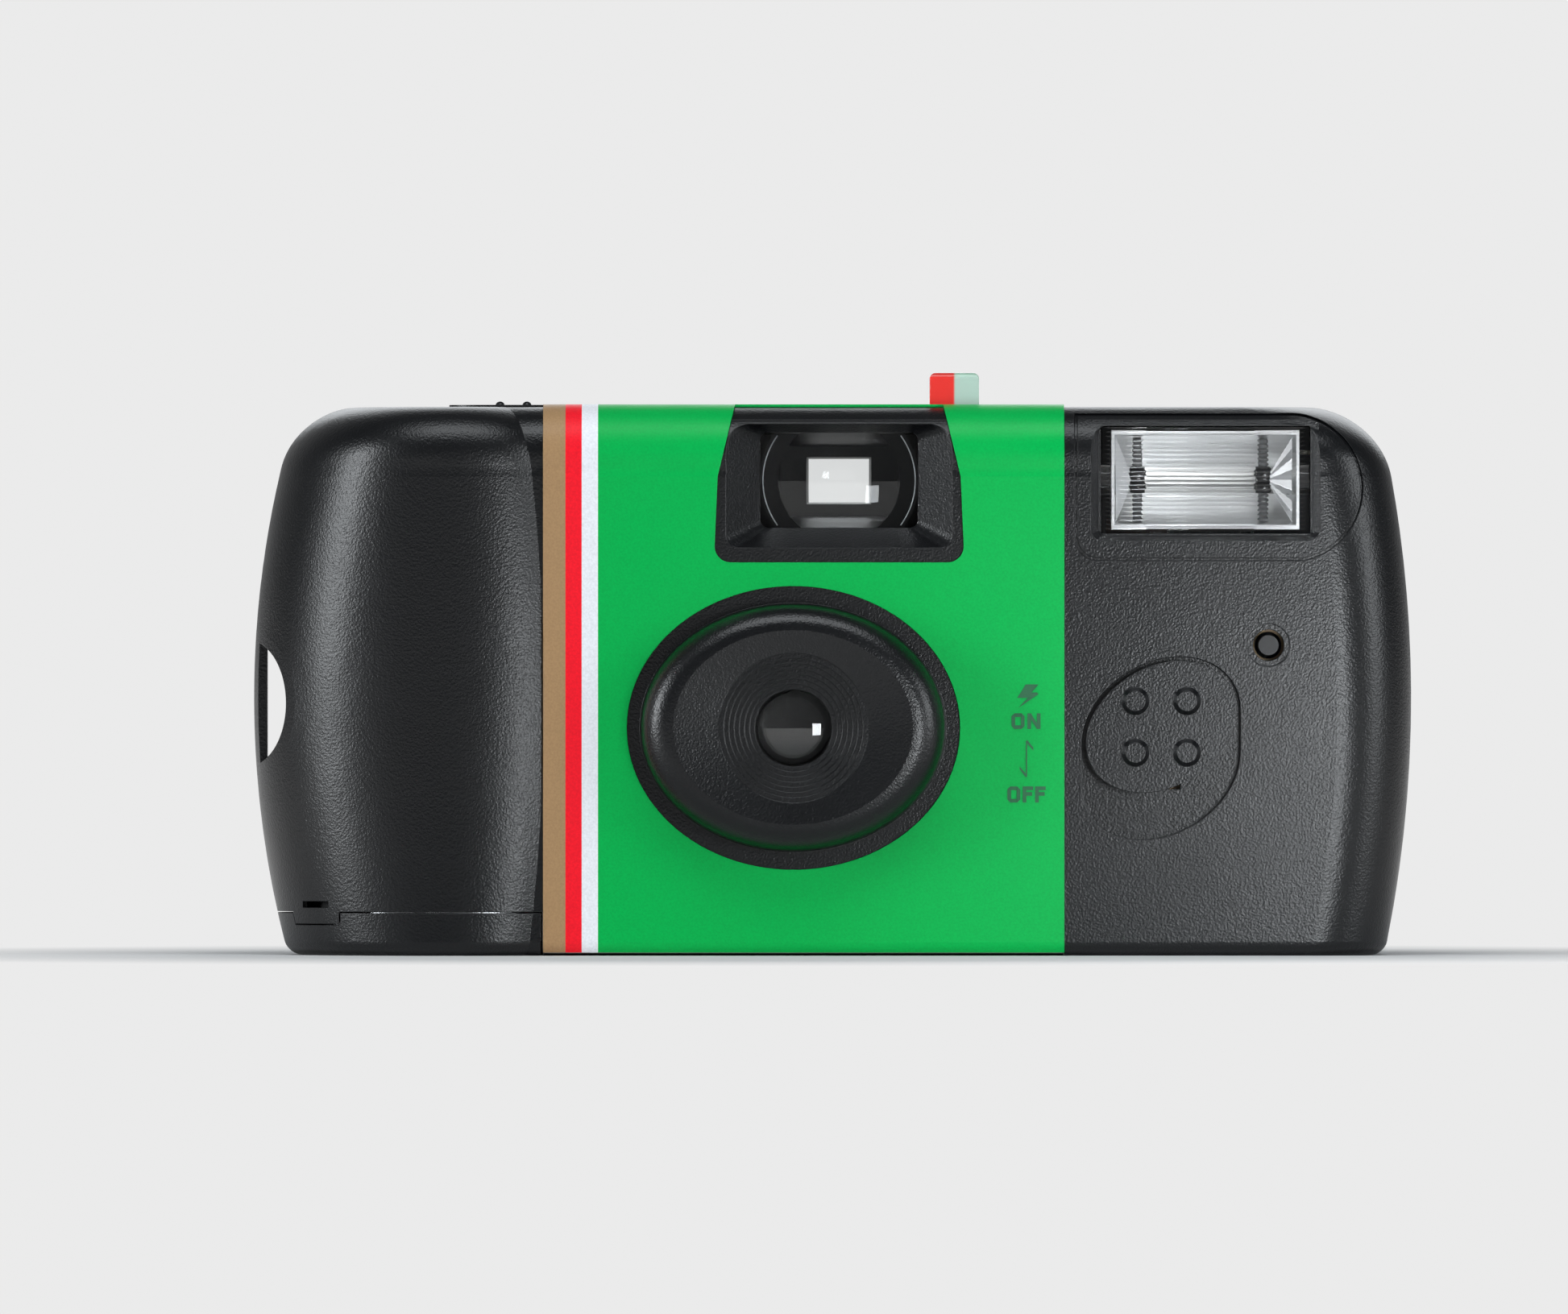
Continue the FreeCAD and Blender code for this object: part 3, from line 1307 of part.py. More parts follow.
def flash_knob():
    plate = knob_outline(0.0, knob_face_y, pocket_floor_y - near, 0)
    bumps = []
    half = knob_bump_pitch / 2
    for dx in (-half, half):
        for dz in (-half, half):
            x = knob_x + dx
            z = knob_z + dz
            foot = V(x, knob_face_y - knob_bump_h, z)
            bumps.append(Part.makeCone(knob_bump_tip_r, knob_bump_r, knob_bump_h, foot, V(0, 1, 0)))
    stem = block(
        knob_x - stem_half, knob_x + stem_half, pocket_floor_y - 0.4, carrier_y0,
        knob_z - stem_half, knob_z + stem_half)
    return join(plate, stem, *bumps)


def switch_carrier():
    x0 = guide_x0 + 0.9
    x1 = knob_x + carrier_half_x
    z1 = knob_z + carrier_high
    pad = block(knob_x - carrier_half_x, x1, carrier_y0, carrier_y1, knob_z - carrier_low, z1)
    arm = block(x0, x1, carrier_y0, carrier_y1, z1 - carrier_arm, z1)
    reach = block(x0, guide_x1, carrier_y0, guide_y1, z1 - carrier_arm, z1)
    return join(pad, arm, reach)


def ready_light_guide():
    pillar = block(guide_x0, guide_x1, guide_y0, guide_y1, knob_z + carrier_high, guide_top_z)
    rims = [edge for edge in pillar.Edges if edge.BoundBox.ZMin > guide_top_z - near]
    return pillar.makeFillet(guide_round_r, rims)


def build():
    os.makedirs("parts", exist_ok=True)
    shell = cover_shell()
    save("front_cover", front_cover(shell))
    save("rear_cover", rear_cover(shell))
    save("film_door", film_door())
    save("wrap_label", wrap_label())
    save("main_body", main_body())
    save("lens_holder", lens_holder())
    save("taking_lens", taking_lens())
    save("shutter_blade", shutter_blade())
    save("shutter_return_spring", blade_spring())
    save("shutter_drive_lever", drive_lever())
    save("drive_lever_spring", drive_spring())
    save("release_lever", release_lever())
    save("shutter_button", shutter_button())
    save("button_spring", button_spring())
    save("thumbwheel", thumbwheel())
    save("wind_pawl", wind_pawl())
    save("cartridge_shell", cartridge_shell())
    save("cartridge_end_caps", cartridge_caps())
    save("cartridge_spool", cartridge_spool())
    save("cartridge_felt", cartridge_felt())
    save("film_strip", film_strip())
    save("film_supply_roll", film_roll())
    save("supply_spool", supply_spool())
    save("sprocket_wheel", sprocket_wheel())
    save("counter_dial", counter_dial())
    save("counter_window", counter_window())
    save("viewfinder_housing", finder_housing())
    save("viewfinder_front_lens", finder_lens())
    save("viewfinder_eyepiece", finder_eyepiece())
    save("flash_window", flash_window())
    save("flash_reflector", flash_reflector())
    save("flash_tube", flash_tube())
    save("flash_tube_caps", tube_caps())
    save("circuit_board", circuit_board())
    save("main_capacitor", main_capacitor())
    save("transformer", transformer())
    save("trigger_coil", trigger_coil())
    save("transistor", transistor())
    save("resistors", resistors())
    save("ready_lamp", ready_lamp())
    save("battery", battery())
    save("battery_contact_lower", contact_low())
    save("battery_contact_upper", contact_top())
    save("sync_contact", sync_contact())
    save("charge_contact", charge_contact())
    save("flash_switch_knob", flash_knob())
    save("flash_switch_carrier", switch_carrier())
    save("ready_light_guide", ready_light_guide())


build()
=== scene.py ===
import math
import bpy
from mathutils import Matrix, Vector


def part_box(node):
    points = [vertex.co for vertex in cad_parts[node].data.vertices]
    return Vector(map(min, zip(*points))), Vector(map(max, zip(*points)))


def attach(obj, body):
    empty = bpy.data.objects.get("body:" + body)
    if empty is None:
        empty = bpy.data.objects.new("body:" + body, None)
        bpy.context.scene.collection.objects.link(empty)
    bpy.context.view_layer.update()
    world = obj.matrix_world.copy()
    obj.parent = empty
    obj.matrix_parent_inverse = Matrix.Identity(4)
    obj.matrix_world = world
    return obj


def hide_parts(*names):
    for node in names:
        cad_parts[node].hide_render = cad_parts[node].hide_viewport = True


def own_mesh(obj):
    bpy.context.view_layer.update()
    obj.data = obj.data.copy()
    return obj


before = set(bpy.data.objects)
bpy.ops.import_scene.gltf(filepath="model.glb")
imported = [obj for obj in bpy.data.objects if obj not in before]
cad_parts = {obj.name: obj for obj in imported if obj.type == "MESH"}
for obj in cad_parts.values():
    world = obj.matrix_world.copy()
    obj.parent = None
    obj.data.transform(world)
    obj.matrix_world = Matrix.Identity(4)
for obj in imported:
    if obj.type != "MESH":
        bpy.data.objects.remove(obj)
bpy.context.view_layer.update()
scene = bpy.context.scene

# Covers and film door
# The front and rear covers and the lid under the cartridge are injection-moulded black polystyrene.
# The mould is spark-eroded, so every outer face has the same fine pebbled grain. The covers snap together.


def add(tree, kind, **values):
    """New shader node: each value goes to the input of that name, or else to the node's own setting."""
    node = tree.nodes.new(kind)
    for key, value in values.items():
        socket = next((s for s in node.inputs if s.name.replace(" ", "_") == key and s.enabled), None)
        if socket is None:
            setattr(node, key, value)
        else:
            socket.default_value = value
    return node


def new_material(name, color, roughness, **sockets):
    material = bpy.data.materials.new(name)
    material.use_nodes = True
    shader = material.node_tree.nodes["Principled BSDF"]
    shader.inputs["Base Color"].default_value = (*color, 1.0)
    shader.inputs["Roughness"].default_value = roughness
    for key, value in sockets.items():
        shader.inputs[key.replace("_", " ")].default_value = value
    return material, material.node_tree, shader


def object_point(tree):
    return add(tree, "ShaderNodeTexCoord").outputs["Object"]


def noise(tree, point, scale, detail=2.0, roughness=0.5):
    node = add(tree, "ShaderNodeTexNoise", Scale=scale, Detail=detail, Roughness=roughness)
    tree.links.new(point, node.inputs["Vector"])
    return node.outputs["Fac"]


def combine(tree, operation, first, second):
    """One number from two: their sum, their product or the larger of them."""
    node = add(tree, "ShaderNodeMath", operation=operation)
    tree.links.new(first, node.inputs[0])
    tree.links.new(second, node.inputs[1])
    return node.outputs[0]


def spread(tree, value, low, high, start=0.3, stop=0.7):
    """Number that goes from low to high while the value goes from start to stop."""
    node = add(tree, "ShaderNodeMapRange", From_Min=start, From_Max=stop, To_Min=low, To_Max=high)
    tree.links.new(value, node.inputs["Value"])
    return node.outputs["Result"]


def color_mix(tree, blend):
    """Node that mixes two colours, with its inputs for the two colours and its output."""
    first_color, second_color, mixed_color = 6, 7, 2
    node = add(tree, "ShaderNodeMix", data_type="RGBA", blend_type=blend)
    return node, node.inputs[first_color], node.inputs[second_color], node.outputs[mixed_color]


def tint(tree, value, low, high, start=0.3, stop=0.7):
    """Colour that goes from low to high while the value goes from start to stop."""
    node, first, second, mixed = color_mix(tree, "MIX")
    tree.links.new(spread(tree, value, 0.0, 1.0, start, stop), node.inputs["Factor"])
    first.default_value = (*low, 1.0)
    second.default_value = (*high, 1.0)
    return mixed


def relief(tree, shader, height, depth, strength=1.0, edge=0.0):
    """Small height pattern over the surface, with softened edges where a radius is given."""
    bump = add(tree, "ShaderNodeBump", Strength=strength, Distance=depth)
    tree.links.new(height, bump.inputs["Height"])
    if edge:
        soft = add(tree, "ShaderNodeBevel", samples=6, Radius=edge)
        tree.links.new(soft.outputs["Normal"], bump.inputs["Normal"])
    tree.links.new(bump.outputs["Normal"], shader.inputs["Normal"])


def moulded(name, color, roughness, grain, depth, edge, **sockets):
    """Injection-moulded plastic: pebbled grain, uneven gloss and faint mottling of the colour."""
    material, tree, shader = new_material(name, color, roughness, **sockets)
    point = object_point(tree)
    pebbles = add(tree, "ShaderNodeTexVoronoi", feature="SMOOTH_F1", Scale=grain, Smoothness=0.6)
    tree.links.new(point, pebbles.inputs["Vector"])
    fine = noise(tree, point, scale=grain * 1.7, detail=1.0)
    relief(tree, shader, combine(tree, "ADD", pebbles.outputs["Distance"], fine), depth, edge=edge)
    gloss_change = 0.06
    handled = noise(tree, point, scale=45.0, detail=4.0, roughness=0.6)
    gloss = spread(tree, handled, roughness - gloss_change, roughness + gloss_change, start=0.1, stop=0.9)
    tree.links.new(gloss, shader.inputs["Roughness"])
    light = tuple(min(1.0, c * 1.3 + 0.0004) for c in color)
    mottling = tint(tree, noise(tree, point, scale=160.0, detail=3.0), color, light, start=0.1, stop=0.9)
    tree.links.new(mottling, shader.inputs["Base Color"])
    return material


def paint(material, *names):
    for name in names:
        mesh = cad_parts[name].data
        mesh.materials.clear()
        mesh.materials.append(material)


black_case = moulded("black_case", (0.0034, 0.0037, 0.0044), roughness=0.31, grain=4200.0, depth=0.000018,
                     edge=0.00012, Specular_IOR_Level=0.4)
paint(black_case, "front_cover", "rear_cover", "film_door")

# Printed wrap
# One band of label film round the middle of the case, printed green with tan, red and white edge stripes.
# It is glued on, and cut out round the lens, the viewfinder, the button and the counter window.

wrap_low, wrap_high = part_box("wrap_label")
tan = (0.39, 0.24, 0.12)
red = (0.93, 0.012, 0.026)
white = (0.84, 0.86, 0.9)
green = (0.0, 0.42, 0.075)
red_start_x = -0.02495
white_start_x = -0.02337
green_start_x = -0.02186
paper_grain = 3600.0
paper_depth = 0.000006


def wrap_print():
    """Stripes placed by X, with a fine speckle in the ink and a slight sheen."""
    low, high = wrap_low.x, wrap_high.x
    material, tree, shader = new_material("printed_wrap", (0.0, 0.5, 0.2), 0.38, Specular_IOR_Level=0.16)
    point = object_point(tree)
    across = add(tree, "ShaderNodeSeparateXYZ")
    tree.links.new(point, across.inputs[0])
    ramp = add(tree, "ShaderNodeValToRGB")
    ramp.color_ramp.interpolation = "CONSTANT"
    stripes = ((low, tan), (red_start_x, red), (white_start_x, white), (green_start_x, green))
    while len(ramp.color_ramp.elements) < len(stripes):
        ramp.color_ramp.elements.new(0.5)
    for element, (x, color) in zip(ramp.color_ramp.elements, stripes):
        element.position = (x - low) / (high - low)
        element.color = (*color, 1.0)
    tree.links.new(spread(tree, across.outputs["X"], 0.0, 1.0, low, high), ramp.inputs["Fac"])
    speckle = tint(tree, noise(tree, point, scale=5200.0), (0.86, 0.86, 0.86), (1.0, 1.0, 1.0))
    node, first, second, printed = color_mix(tree, "MULTIPLY")
    node.inputs["Factor"].default_value = 1.0
    tree.links.new(ramp.outputs["Color"], first)
    tree.links.new(speckle, second)
    tree.links.new(printed, shader.inputs["Base Color"])
    relief(tree, shader, noise(tree, point, paper_grain, detail=3.0), paper_depth, edge=0.0001)
    sheen = spread(tree, noise(tree, point, scale=60.0, detail=3.0), 0.32, 0.44)
    tree.links.new(sheen, shader.inputs["Roughness"])
    return material


paint(wrap_print(), "wrap_label")

# Marks of the flash switch
# ON, OFF, a bolt and a pair of arrows are printed on the wrap's flat front in dark green ink.
# Each mark is a thin flat of ink, built up from straight strokes.

ink_y = wrap_low.y * 1000 - 0.002
ink_half_t = 0.004
stroke = 0.34
on_z = 21.1
on_w = 1.22
on_h = 1.46
off_z = 14.26
off_h = 1.5
off_o_w = 1.2
off_f_w = 0.98


def solid_mesh(name, verts, faces, material, smooth=True):
    """Piece given in millimetres that rides on the camera's body."""
    mesh = bpy.data.meshes.new(name)
    mesh.from_pydata([(x / 1000, y / 1000, z / 1000) for x, y, z in verts], [], faces)
    mesh.materials.append(material)
    if smooth:
        mesh.shade_smooth()
    piece = bpy.data.objects.new(name, mesh)
    scene.collection.objects.link(piece)
    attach(piece, "camera_body")
    return piece


def flat_print(name, outlines):
    """Ink on the wrap: each outline is a list of X, Z points in millimetres."""
    verts, faces = [], []
    for outline in outlines:
        start = len(verts)
        count = len(outline)
        verts += [(x, ink_y - ink_half_t, z) for x, z in outline]
        verts += [(x, ink_y + ink_half_t, z) for x, z in outline]
        faces.append(list(range(start, start + count)))
        faces.append(list(range(start + 2 * count - 1, start + count - 1, -1)))
        for i in range(count):
            j = (i + 1) % count
            faces.append([start + i, start + count + i, start + count + j, start + j])
    solid_mesh(name, verts, faces, ink_green, smooth=False)


def box_outline(x0, x1, z0, z1):
    return [(x0, z0), (x1, z0), (x1, z1), (x0, z1)]


def letter_o(x, z, w, h):
    """Squared letter O as eight strokes: four straight bars and four cut corners."""
    x1, z1 = x + w, z + h
    t, cut = stroke, 0.28
    inner = t + cut * 0.124
    return [
        box_outline(x, x + t, z + cut, z1 - cut),
        box_outline(x1 - t, x1, z + cut, z1 - cut),
        box_outline(x + cut, x1 - cut, z, z + t),
        box_outline(x + cut, x1 - cut, z1 - t, z1),
        [(x, z + cut), (x + cut, z), (x + cut, z + t), (x + t, z + inner), (x + t, z + cut)],
        [(x1, z + cut), (x1 - t, z + cut), (x1 - t, z + inner), (x1 - cut, z + t), (x1 - cut, z)],
        [(x, z1 - cut), (x + t, z1 - cut), (x + t, z1 - inner), (x + cut, z1 - t), (x + cut, z1)],
        [(x1, z1 - cut), (x1 - cut, z1), (x1 - cut, z1 - t), (x1 - t, z1 - inner), (x1 - t, z1 - cut)],
    ]


def letter_n(x, z, w, h):
    """Letter N: two uprights and a slanted stroke between them."""
    t, slant = stroke, 0.55
    return [
        box_outline(x, x + t, z, z + h),
        box_outline(x + w - t, x + w, z, z + h),
        [(x + t, z + h), (x + t, z + h - slant), (x + w - t, z), (x + w - t, z + slant)],
    ]


def letter_f(x, z, w, h):
    """Letter F: an upright, a top bar and a shorter middle bar."""
    t, bar_z, bar_w = stroke, z + h * 0.42, w * 0.9
    return [
        box_outline(x, x + t, z, z + h),
        box_outline(x + t, x + w, z + h - t, z + h),
        box_outline(x + t, x + bar_w, bar_z, bar_z + t),
    ]


ink_green, ink_tree, ink_shader = new_material("dark_green_ink", (0.0, 0.11, 0.035), 0.4)
relief(ink_tree, ink_shader, noise(ink_tree, object_point(ink_tree), paper_grain), paper_depth)
flat_print("print_on", letter_o(16.68, on_z, on_w, on_h) + letter_n(18.16, on_z, on_w, on_h))
flat_print("print_off", letter_o(16.3, off_z, off_o_w, off_h) + letter_f(17.72, off_z, off_f_w, off_h)
           + letter_f(18.88, off_z, off_f_w, off_h))
flat_print("print_bolt", [
    [(18.0, 25.25), (19.2, 25.25), (18.55, 24.5), (17.55, 24.5)],
    [(17.55, 24.5), (19.05, 24.5), (19.2, 24.35), (17.3, 23.05), (18.2, 24.0), (17.2, 24.0)],
])
flat_print("print_arrows", [
    [(18.02, 16.65), (18.14, 16.65), (18.14, 20.0), (18.02, 20.0)],
    [(18.14, 20.1), (18.14, 19.75), (18.72, 19.1), (18.72, 19.35)],
    [(18.02, 16.6), (18.02, 16.95), (17.45, 17.6), (17.45, 17.35)],
])

# Lens and its holder
# The taking lens is one clear acrylic meniscus, dropped into a black holder behind the stepped mouth.
# A thin black blade covers the aperture behind it, pulled shut by a spring of fine wire.


def clear(name, color, roughness, ior=1.49):
    """Polished clear plastic or glass with faint moulding swirls."""
    material, tree, shader = new_material(name, color, roughness, Transmission_Weight=1.0, IOR=ior)
    swirls = noise(tree, object_point(tree), scale=350.0, detail=1.0)
    relief(tree, shader, swirls, depth=0.000002, strength=0.5)
    return material


def metal(name, color, roughness, stretch=(1.0, 1.0, 1.0), scale=900.0, depth=0.000003):
    """Bare metal with drawing marks that run along one direction."""
    material, tree, shader = new_material(name, color, roughness, Metallic=1.0)
    mapping = add(tree, "ShaderNodeMapping")
    mapping.inputs["Scale"].default_value = stretch
    tree.links.new(object_point(tree), mapping.inputs["Vector"])
    marks = noise(tree, mapping.outputs["Vector"], scale, detail=4.0)
    relief(tree, shader, marks, depth, edge=0.00008)
    tree.links.new(spread(tree, marks, roughness * 0.75, roughness * 1.3), shader.inputs["Roughness"])
    return material


black_inner = moulded("black_inner", (0.012, 0.012, 0.0125), roughness=0.5, grain=2600.0, depth=0.000006,
                      edge=0.00012)
clear_optic = clear("clear_optic", (0.97, 0.98, 0.98), roughness=0.01)
spring_steel = metal("spring_steel", (0.6, 0.6, 0.6), roughness=0.25)
paint(clear_optic, "taking_lens")
paint(black_inner, "lens_holder", "shutter_blade")
paint(spring_steel, "shutter_return_spring")

# Viewfinder
# A dull black tunnel runs through the case, with a clear lens at the front and an eyepiece at the back.
# Both are clear acrylic, snapped into the tunnel. Two thin light grey arcs on the rim of the front lens are
# painted highlights.

finder_low, finder_high = (v * 1000 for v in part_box("viewfinder_front_lens"))
finder_mid = (finder_low + finder_high) / 2
rim_r = 7.1
rim_half_t = 0.06
rim_sink = 0.35
rim_half_turn = 0.63


def ring_skin(rings, around):
    """Faces of a closed rod whose points were laid ring by ring."""
    faces = []
    for i in range(rings):
        for j in range(around):
            k = (j + 1) % around
            faces.append((i * around + j, i * around + k, (i + 1) * around + k, (i + 1) * around + j))
    faces.append(tuple(range(around - 1, -1, -1)))
    faces.append(tuple(range(rings * around, rings * around + around)))
    return faces


def rim_glint_arc(name, middle_turn):
    """Painted highlight: a thin light grey arc on the edge where the round face of the lens meets its flat.
    """
    steps, around = 24, 8
    start = middle_turn - rim_half_turn
    verts = []
    for i in range(steps + 1):
        turn = start + 2 * rim_half_turn * i / steps
        for j in range(around):
            roll = 2 * math.pi * j / around
            r = rim_r + rim_half_t * math.cos(roll)
            x = finder_mid.x + r * math.cos(turn)
            y = finder_low.y + rim_sink + rim_half_t * math.sin(roll)
            z = finder_mid.z + r * math.sin(turn)
            verts.append((x, y, z))
    solid_mesh(name, verts, ring_skin(steps, around), lens_edge)


paint(black_inner, "viewfinder_housing")
paint(clear_optic, "viewfinder_front_lens", "viewfinder_eyepiece")
# Painted highlight: opaque light grey standing for the glint along the lens rim.
lens_edge, glint_tree, glint_shader = new_material("lens_edge", (0.62, 0.65, 0.68), 0.25)
relief(glint_tree, glint_shader, noise(glint_tree, object_point(glint_tree), scale=900.0), depth=0.000002)
rim_glint_arc("finder_arc_right", 0.0)
rim_glint_arc("finder_arc_left", math.pi)

# Flash head
# A bright pressed reflector holds the glass discharge tube in two rubber grommets, between ribbed posts.
# The window over it is clear acrylic, with fine moulded ribs over the middle of its inner face.

window_low, window_high = (v * 1000 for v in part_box("flash_window"))
reflector_low, reflector_high = (v * 1000 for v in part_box("flash_reflector"))
flash_mid_z = (reflector_low.z + reflector_high.z) / 2
pane_t = 0.8
pane_ribs = 24
pane_rib_h = 0.05
pane_rib_x0 = 29.2
pane_rib_x1 = 39.35
pane_rib_end = 0.12
rib_steps = 8
left_post_x = 28.5
right_post_x = 40.05
post_y = reflector_low.y + 0.75
post_low_z = reflector_low.z + 0.8
post_high_z = reflector_high.z - 0.8
post_half = 0.5
post_ribs = 6
post_waist = 0.72
post_flatness = 0.4
grommet_half = 0.85
grommet_ribs = 2
grommet_low_z = flash_mid_z - 1.25
grommet_high_z = flash_mid_z + 1.25
fan_half_h = reflector_high.z - flash_mid_z - 0.7
fan_throat_h = 1.2
fan_depth = 0.25
fan_throat_share = 0.2
fan_t = 0.4


def ribbed_pane(material):
    """Clear pane with fine rounded ribs over the middle of its inner face."""
    columns = (window_low.x, pane_rib_x0, pane_rib_x0 + pane_rib_end, pane_rib_x1 - pane_rib_end, pane_rib_x1,
               window_high.x)
    full_height = (2, 3)
    wide = len(columns)
    rows = pane_ribs * rib_steps
    back = (rows + 1) * wide
    verts, faces = [], []
    for layer in (0, 1):
        for i in range(rows + 1):
            z = window_low.z + (window_high.z - window_low.z) * i / rows
            swell = pane_rib_h * abs(math.sin(math.pi * pane_ribs * i / rows))
            for j, x in enumerate(columns):
                y = window_low.y + layer * (pane_t + (swell if j in full_height else 0.0))
                verts.append((x, y, z))
    for i in range(rows):
        for j in range(wide - 1):
            a, b, c, d = i * wide + j, i * wide + j + 1, (i + 1) * wide + j + 1, (i + 1) * wide + j
            faces.append((a, b, c, d))
            faces.append((back + d, back + c, back + b, back + a))
        left, above = i * wide, (i + 1) * wide
        faces.append((left, above, back + above, back + left))
        faces.append((above + wide - 1, left + wide - 1, back + left + wide - 1, back + above + wide - 1))
    for j in range(wide - 1):
        top = rows * wide + j
        faces.append((j + 1, j, back + j, back + j + 1))
        faces.append((top, top + 1, back + top + 1, back + top))
    pane = solid_mesh("flash_pane", verts, faces, material)
    pane.data.set_sharp_from_angle(angle=math.radians(40))
    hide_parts("flash_window")


def ribbed_post(name, x, z0, z1, half, ribs, material):
    """Upright post of stacked rounded ribs, somewhat flattened from front to back."""
    rings, around = ribs * rib_steps, 16
    verts = []
    for i in range(rings + 1):
        z = z0 + (z1 - z0) * i / rings
        swell = half * (post_waist + (1 - post_waist) * abs(math.sin(math.pi * ribs * i / rings)))
        for j in range(around):
            turn = 2 * math.pi * j / around
            verts.append((x + swell * math.cos(turn), post_y + swell * post_flatness * math.sin(turn), z))
    solid_mesh(name, verts, ring_skin(rings, around), material)


def fan(name, x, edge_x, y, blades, material):
    """Pleats of the reflector's end that open like a fan from the tube to the outer edge."""
    pleats = 2 * blades
    last = 2 * pleats
    verts, faces = [], []
    for i in range(pleats + 1):
        share = i / pleats
        lift = fan_depth if i % 2 else 0.0
        verts.append((x, y + lift * fan_throat_share, flash_mid_z + fan_throat_h * (share - 0.5)))
        verts.append((edge_x, y + lift, flash_mid_z + 2 * fan_half_h * (share - 0.5)))
    for i in range(pleats):
        faces.append((2 * i, 2 * i + 1, 2 * i + 3, 2 * i + 2))
    count = len(verts)
    verts += [(px, y + fan_t, pz) for px, _, pz in verts]
    faces += [tuple(count + v for v in reversed(face)) for face in faces]
    for i in range(pleats):
        faces.append((2 * i + 2, count + 2 * i + 2, count + 2 * i, 2 * i))
        faces.append((2 * i + 1, count + 2 * i + 1, count + 2 * i + 3, 2 * i + 3))
    faces.append((0, count, count + 1, 1))
    faces.append((last + 1, count + last + 1, count + last, last))
    solid_mesh(name, verts, faces, material, smooth=False)


reflector_metal = metal("reflector_metal", (0.96, 0.965, 0.97), roughness=0.35, stretch=(0.15, 6.0, 6.0),
                        scale=600.0, depth=0.000004)
contact_metal = metal("contact_metal", (0.72, 0.7, 0.6), roughness=0.3, stretch=(1.0, 1.0, 6.0))
tube_glass = clear("tube_glass", (0.98, 0.98, 0.97), roughness=0.0, ior=1.47)
paint(reflector_metal, "flash_reflector")
paint(tube_glass, "flash_tube")
paint(contact_metal, "flash_tube_caps")
ribbed_pane(clear("ribbed_window", (0.98, 0.985, 0.99), roughness=0.01))
post_grey = moulded("post_grey", (0.09, 0.092, 0.095), roughness=0.2, grain=2600.0, depth=0.000003,
                    edge=0.0)
ball_black = moulded("ball_black", (0.006, 0.006, 0.007), roughness=0.25, grain=2600.0, depth=0.000003,
                     edge=0.0)
for side, post_x in (("left", left_post_x), ("right", right_post_x)):
    for part, z0, z1 in (("low", post_low_z, grommet_low_z), ("high", grommet_high_z, post_high_z)):
        ribbed_post("reflector_post_" + side + "_" + part, post_x, z0, z1, post_half, post_ribs, post_grey)
    ribbed_post("tube_grommet_" + side, post_x, grommet_low_z, grommet_high_z, grommet_half, grommet_ribs,
                ball_black)
# Painted highlight: the reflector's left end is a near-white plastic fan, standing for the bright reflection
# there.
bright_end = moulded("bright_end", (0.86, 0.87, 0.88), roughness=0.3, grain=2600.0, depth=0.000002,
                     edge=0.0)
fan("reflector_end", x=27.85, edge_x=reflector_low.x + 0.45, y=post_y - 0.1, blades=1, material=bright_end)
fan("reflector_fan", x=40.7, edge_x=reflector_high.x - 0.7, y=post_y - 0.2, blades=4,
    material=reflector_metal)

# Flash switch and ready-light guide
# The oval knob, its grey carrier and the clear guide slide together. With the knob up, the guide stands
# above the case, red at the left and pale green at the right; the pale green is a painted reflection of
# the green wrap, and a faint painted glow is added to both halves.

guide_low, guide_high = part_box("ready_light_guide")
guide_mid_x = (guide_low.x + guide_high.x) / 2
guide_blend = 0.0001
guide_red = (0.95, 0.06, 0.05)
# Pale green at the right: a painted reflection of the green wrap.
guide_painted_green_reflection = (0.55, 0.74, 0.66)


def painted_glow_guide():
    """Clear plastic, red on one side of its middle and a painted pale green reflection on the other, with a
    painted glow.
    """
    material, tree, shader = new_material("light_guide", (0.9, 0.9, 0.9), 0.06, Transmission_Weight=0.55,
                                          IOR=1.49)
    point = object_point(tree)
    across = add(tree, "ShaderNodeSeparateXYZ")
    tree.links.new(point, across.inputs[0])
    color = tint(tree, across.outputs["X"], guide_red, guide_painted_green_reflection, guide_mid_x - guide_blend,
                 guide_mid_x + guide_blend)
    tree.links.new(color, shader.inputs["Base Color"])
    # Painted glow: the guide's own colours are fed to its emission, though the guide is no lamp.
    tree.links.new(color, shader.inputs["Emission Color"])
    shader.inputs["Emission Strength"].default_value = 0.06
    swirls = noise(tree, point, scale=500.0, detail=1.0)
    relief(tree, shader, swirls, depth=0.000002, strength=0.6, edge=0.0002)
    return material


grey_plastic = moulded("grey_plastic", (0.1, 0.104, 0.108), roughness=0.45, grain=2600.0, depth=0.000005,
                       edge=0.0001)
paint(black_case, "flash_switch_knob")
paint(grey_plastic, "flash_switch_carrier")
paint(painted_glow_guide(), "ready_light_guide")

# Shutter button, thumbwheel and frame counter
# The button is black plastic over a coil spring, and tips the grey release lever under it. The wheel at
# the back is ribbed black plastic. The counter is a white dial under a small clear window.

white_plastic = moulded("white_plastic", (0.72, 0.72, 0.69), roughness=0.35, grain=2400.0, depth=0.000004,
                        edge=0.0001)
paint(black_case, "shutter_button")
paint(black_inner, "thumbwheel")
paint(grey_plastic, "release_lever", "shutter_drive_lever", "wind_pawl")
paint(spring_steel, "button_spring", "drive_lever_spring")
paint(white_plastic, "counter_dial", "sprocket_wheel")
paint(clear_optic, "counter_window")
pressed_spring = bpy.data.objects.new("pressed_spring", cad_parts["button_spring"].data.copy())
scene.collection.objects.link(pressed_spring)
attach(pressed_spring, "camera_body")
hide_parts("button_spring")
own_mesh(pressed_spring)

# Frame, cartridge and film
# The frame is one dull black moulding that keeps light off the film. The cartridge is thin lacquered
# steel with pressed end caps, and velvet in its mouth. The film is brown on a black spool.

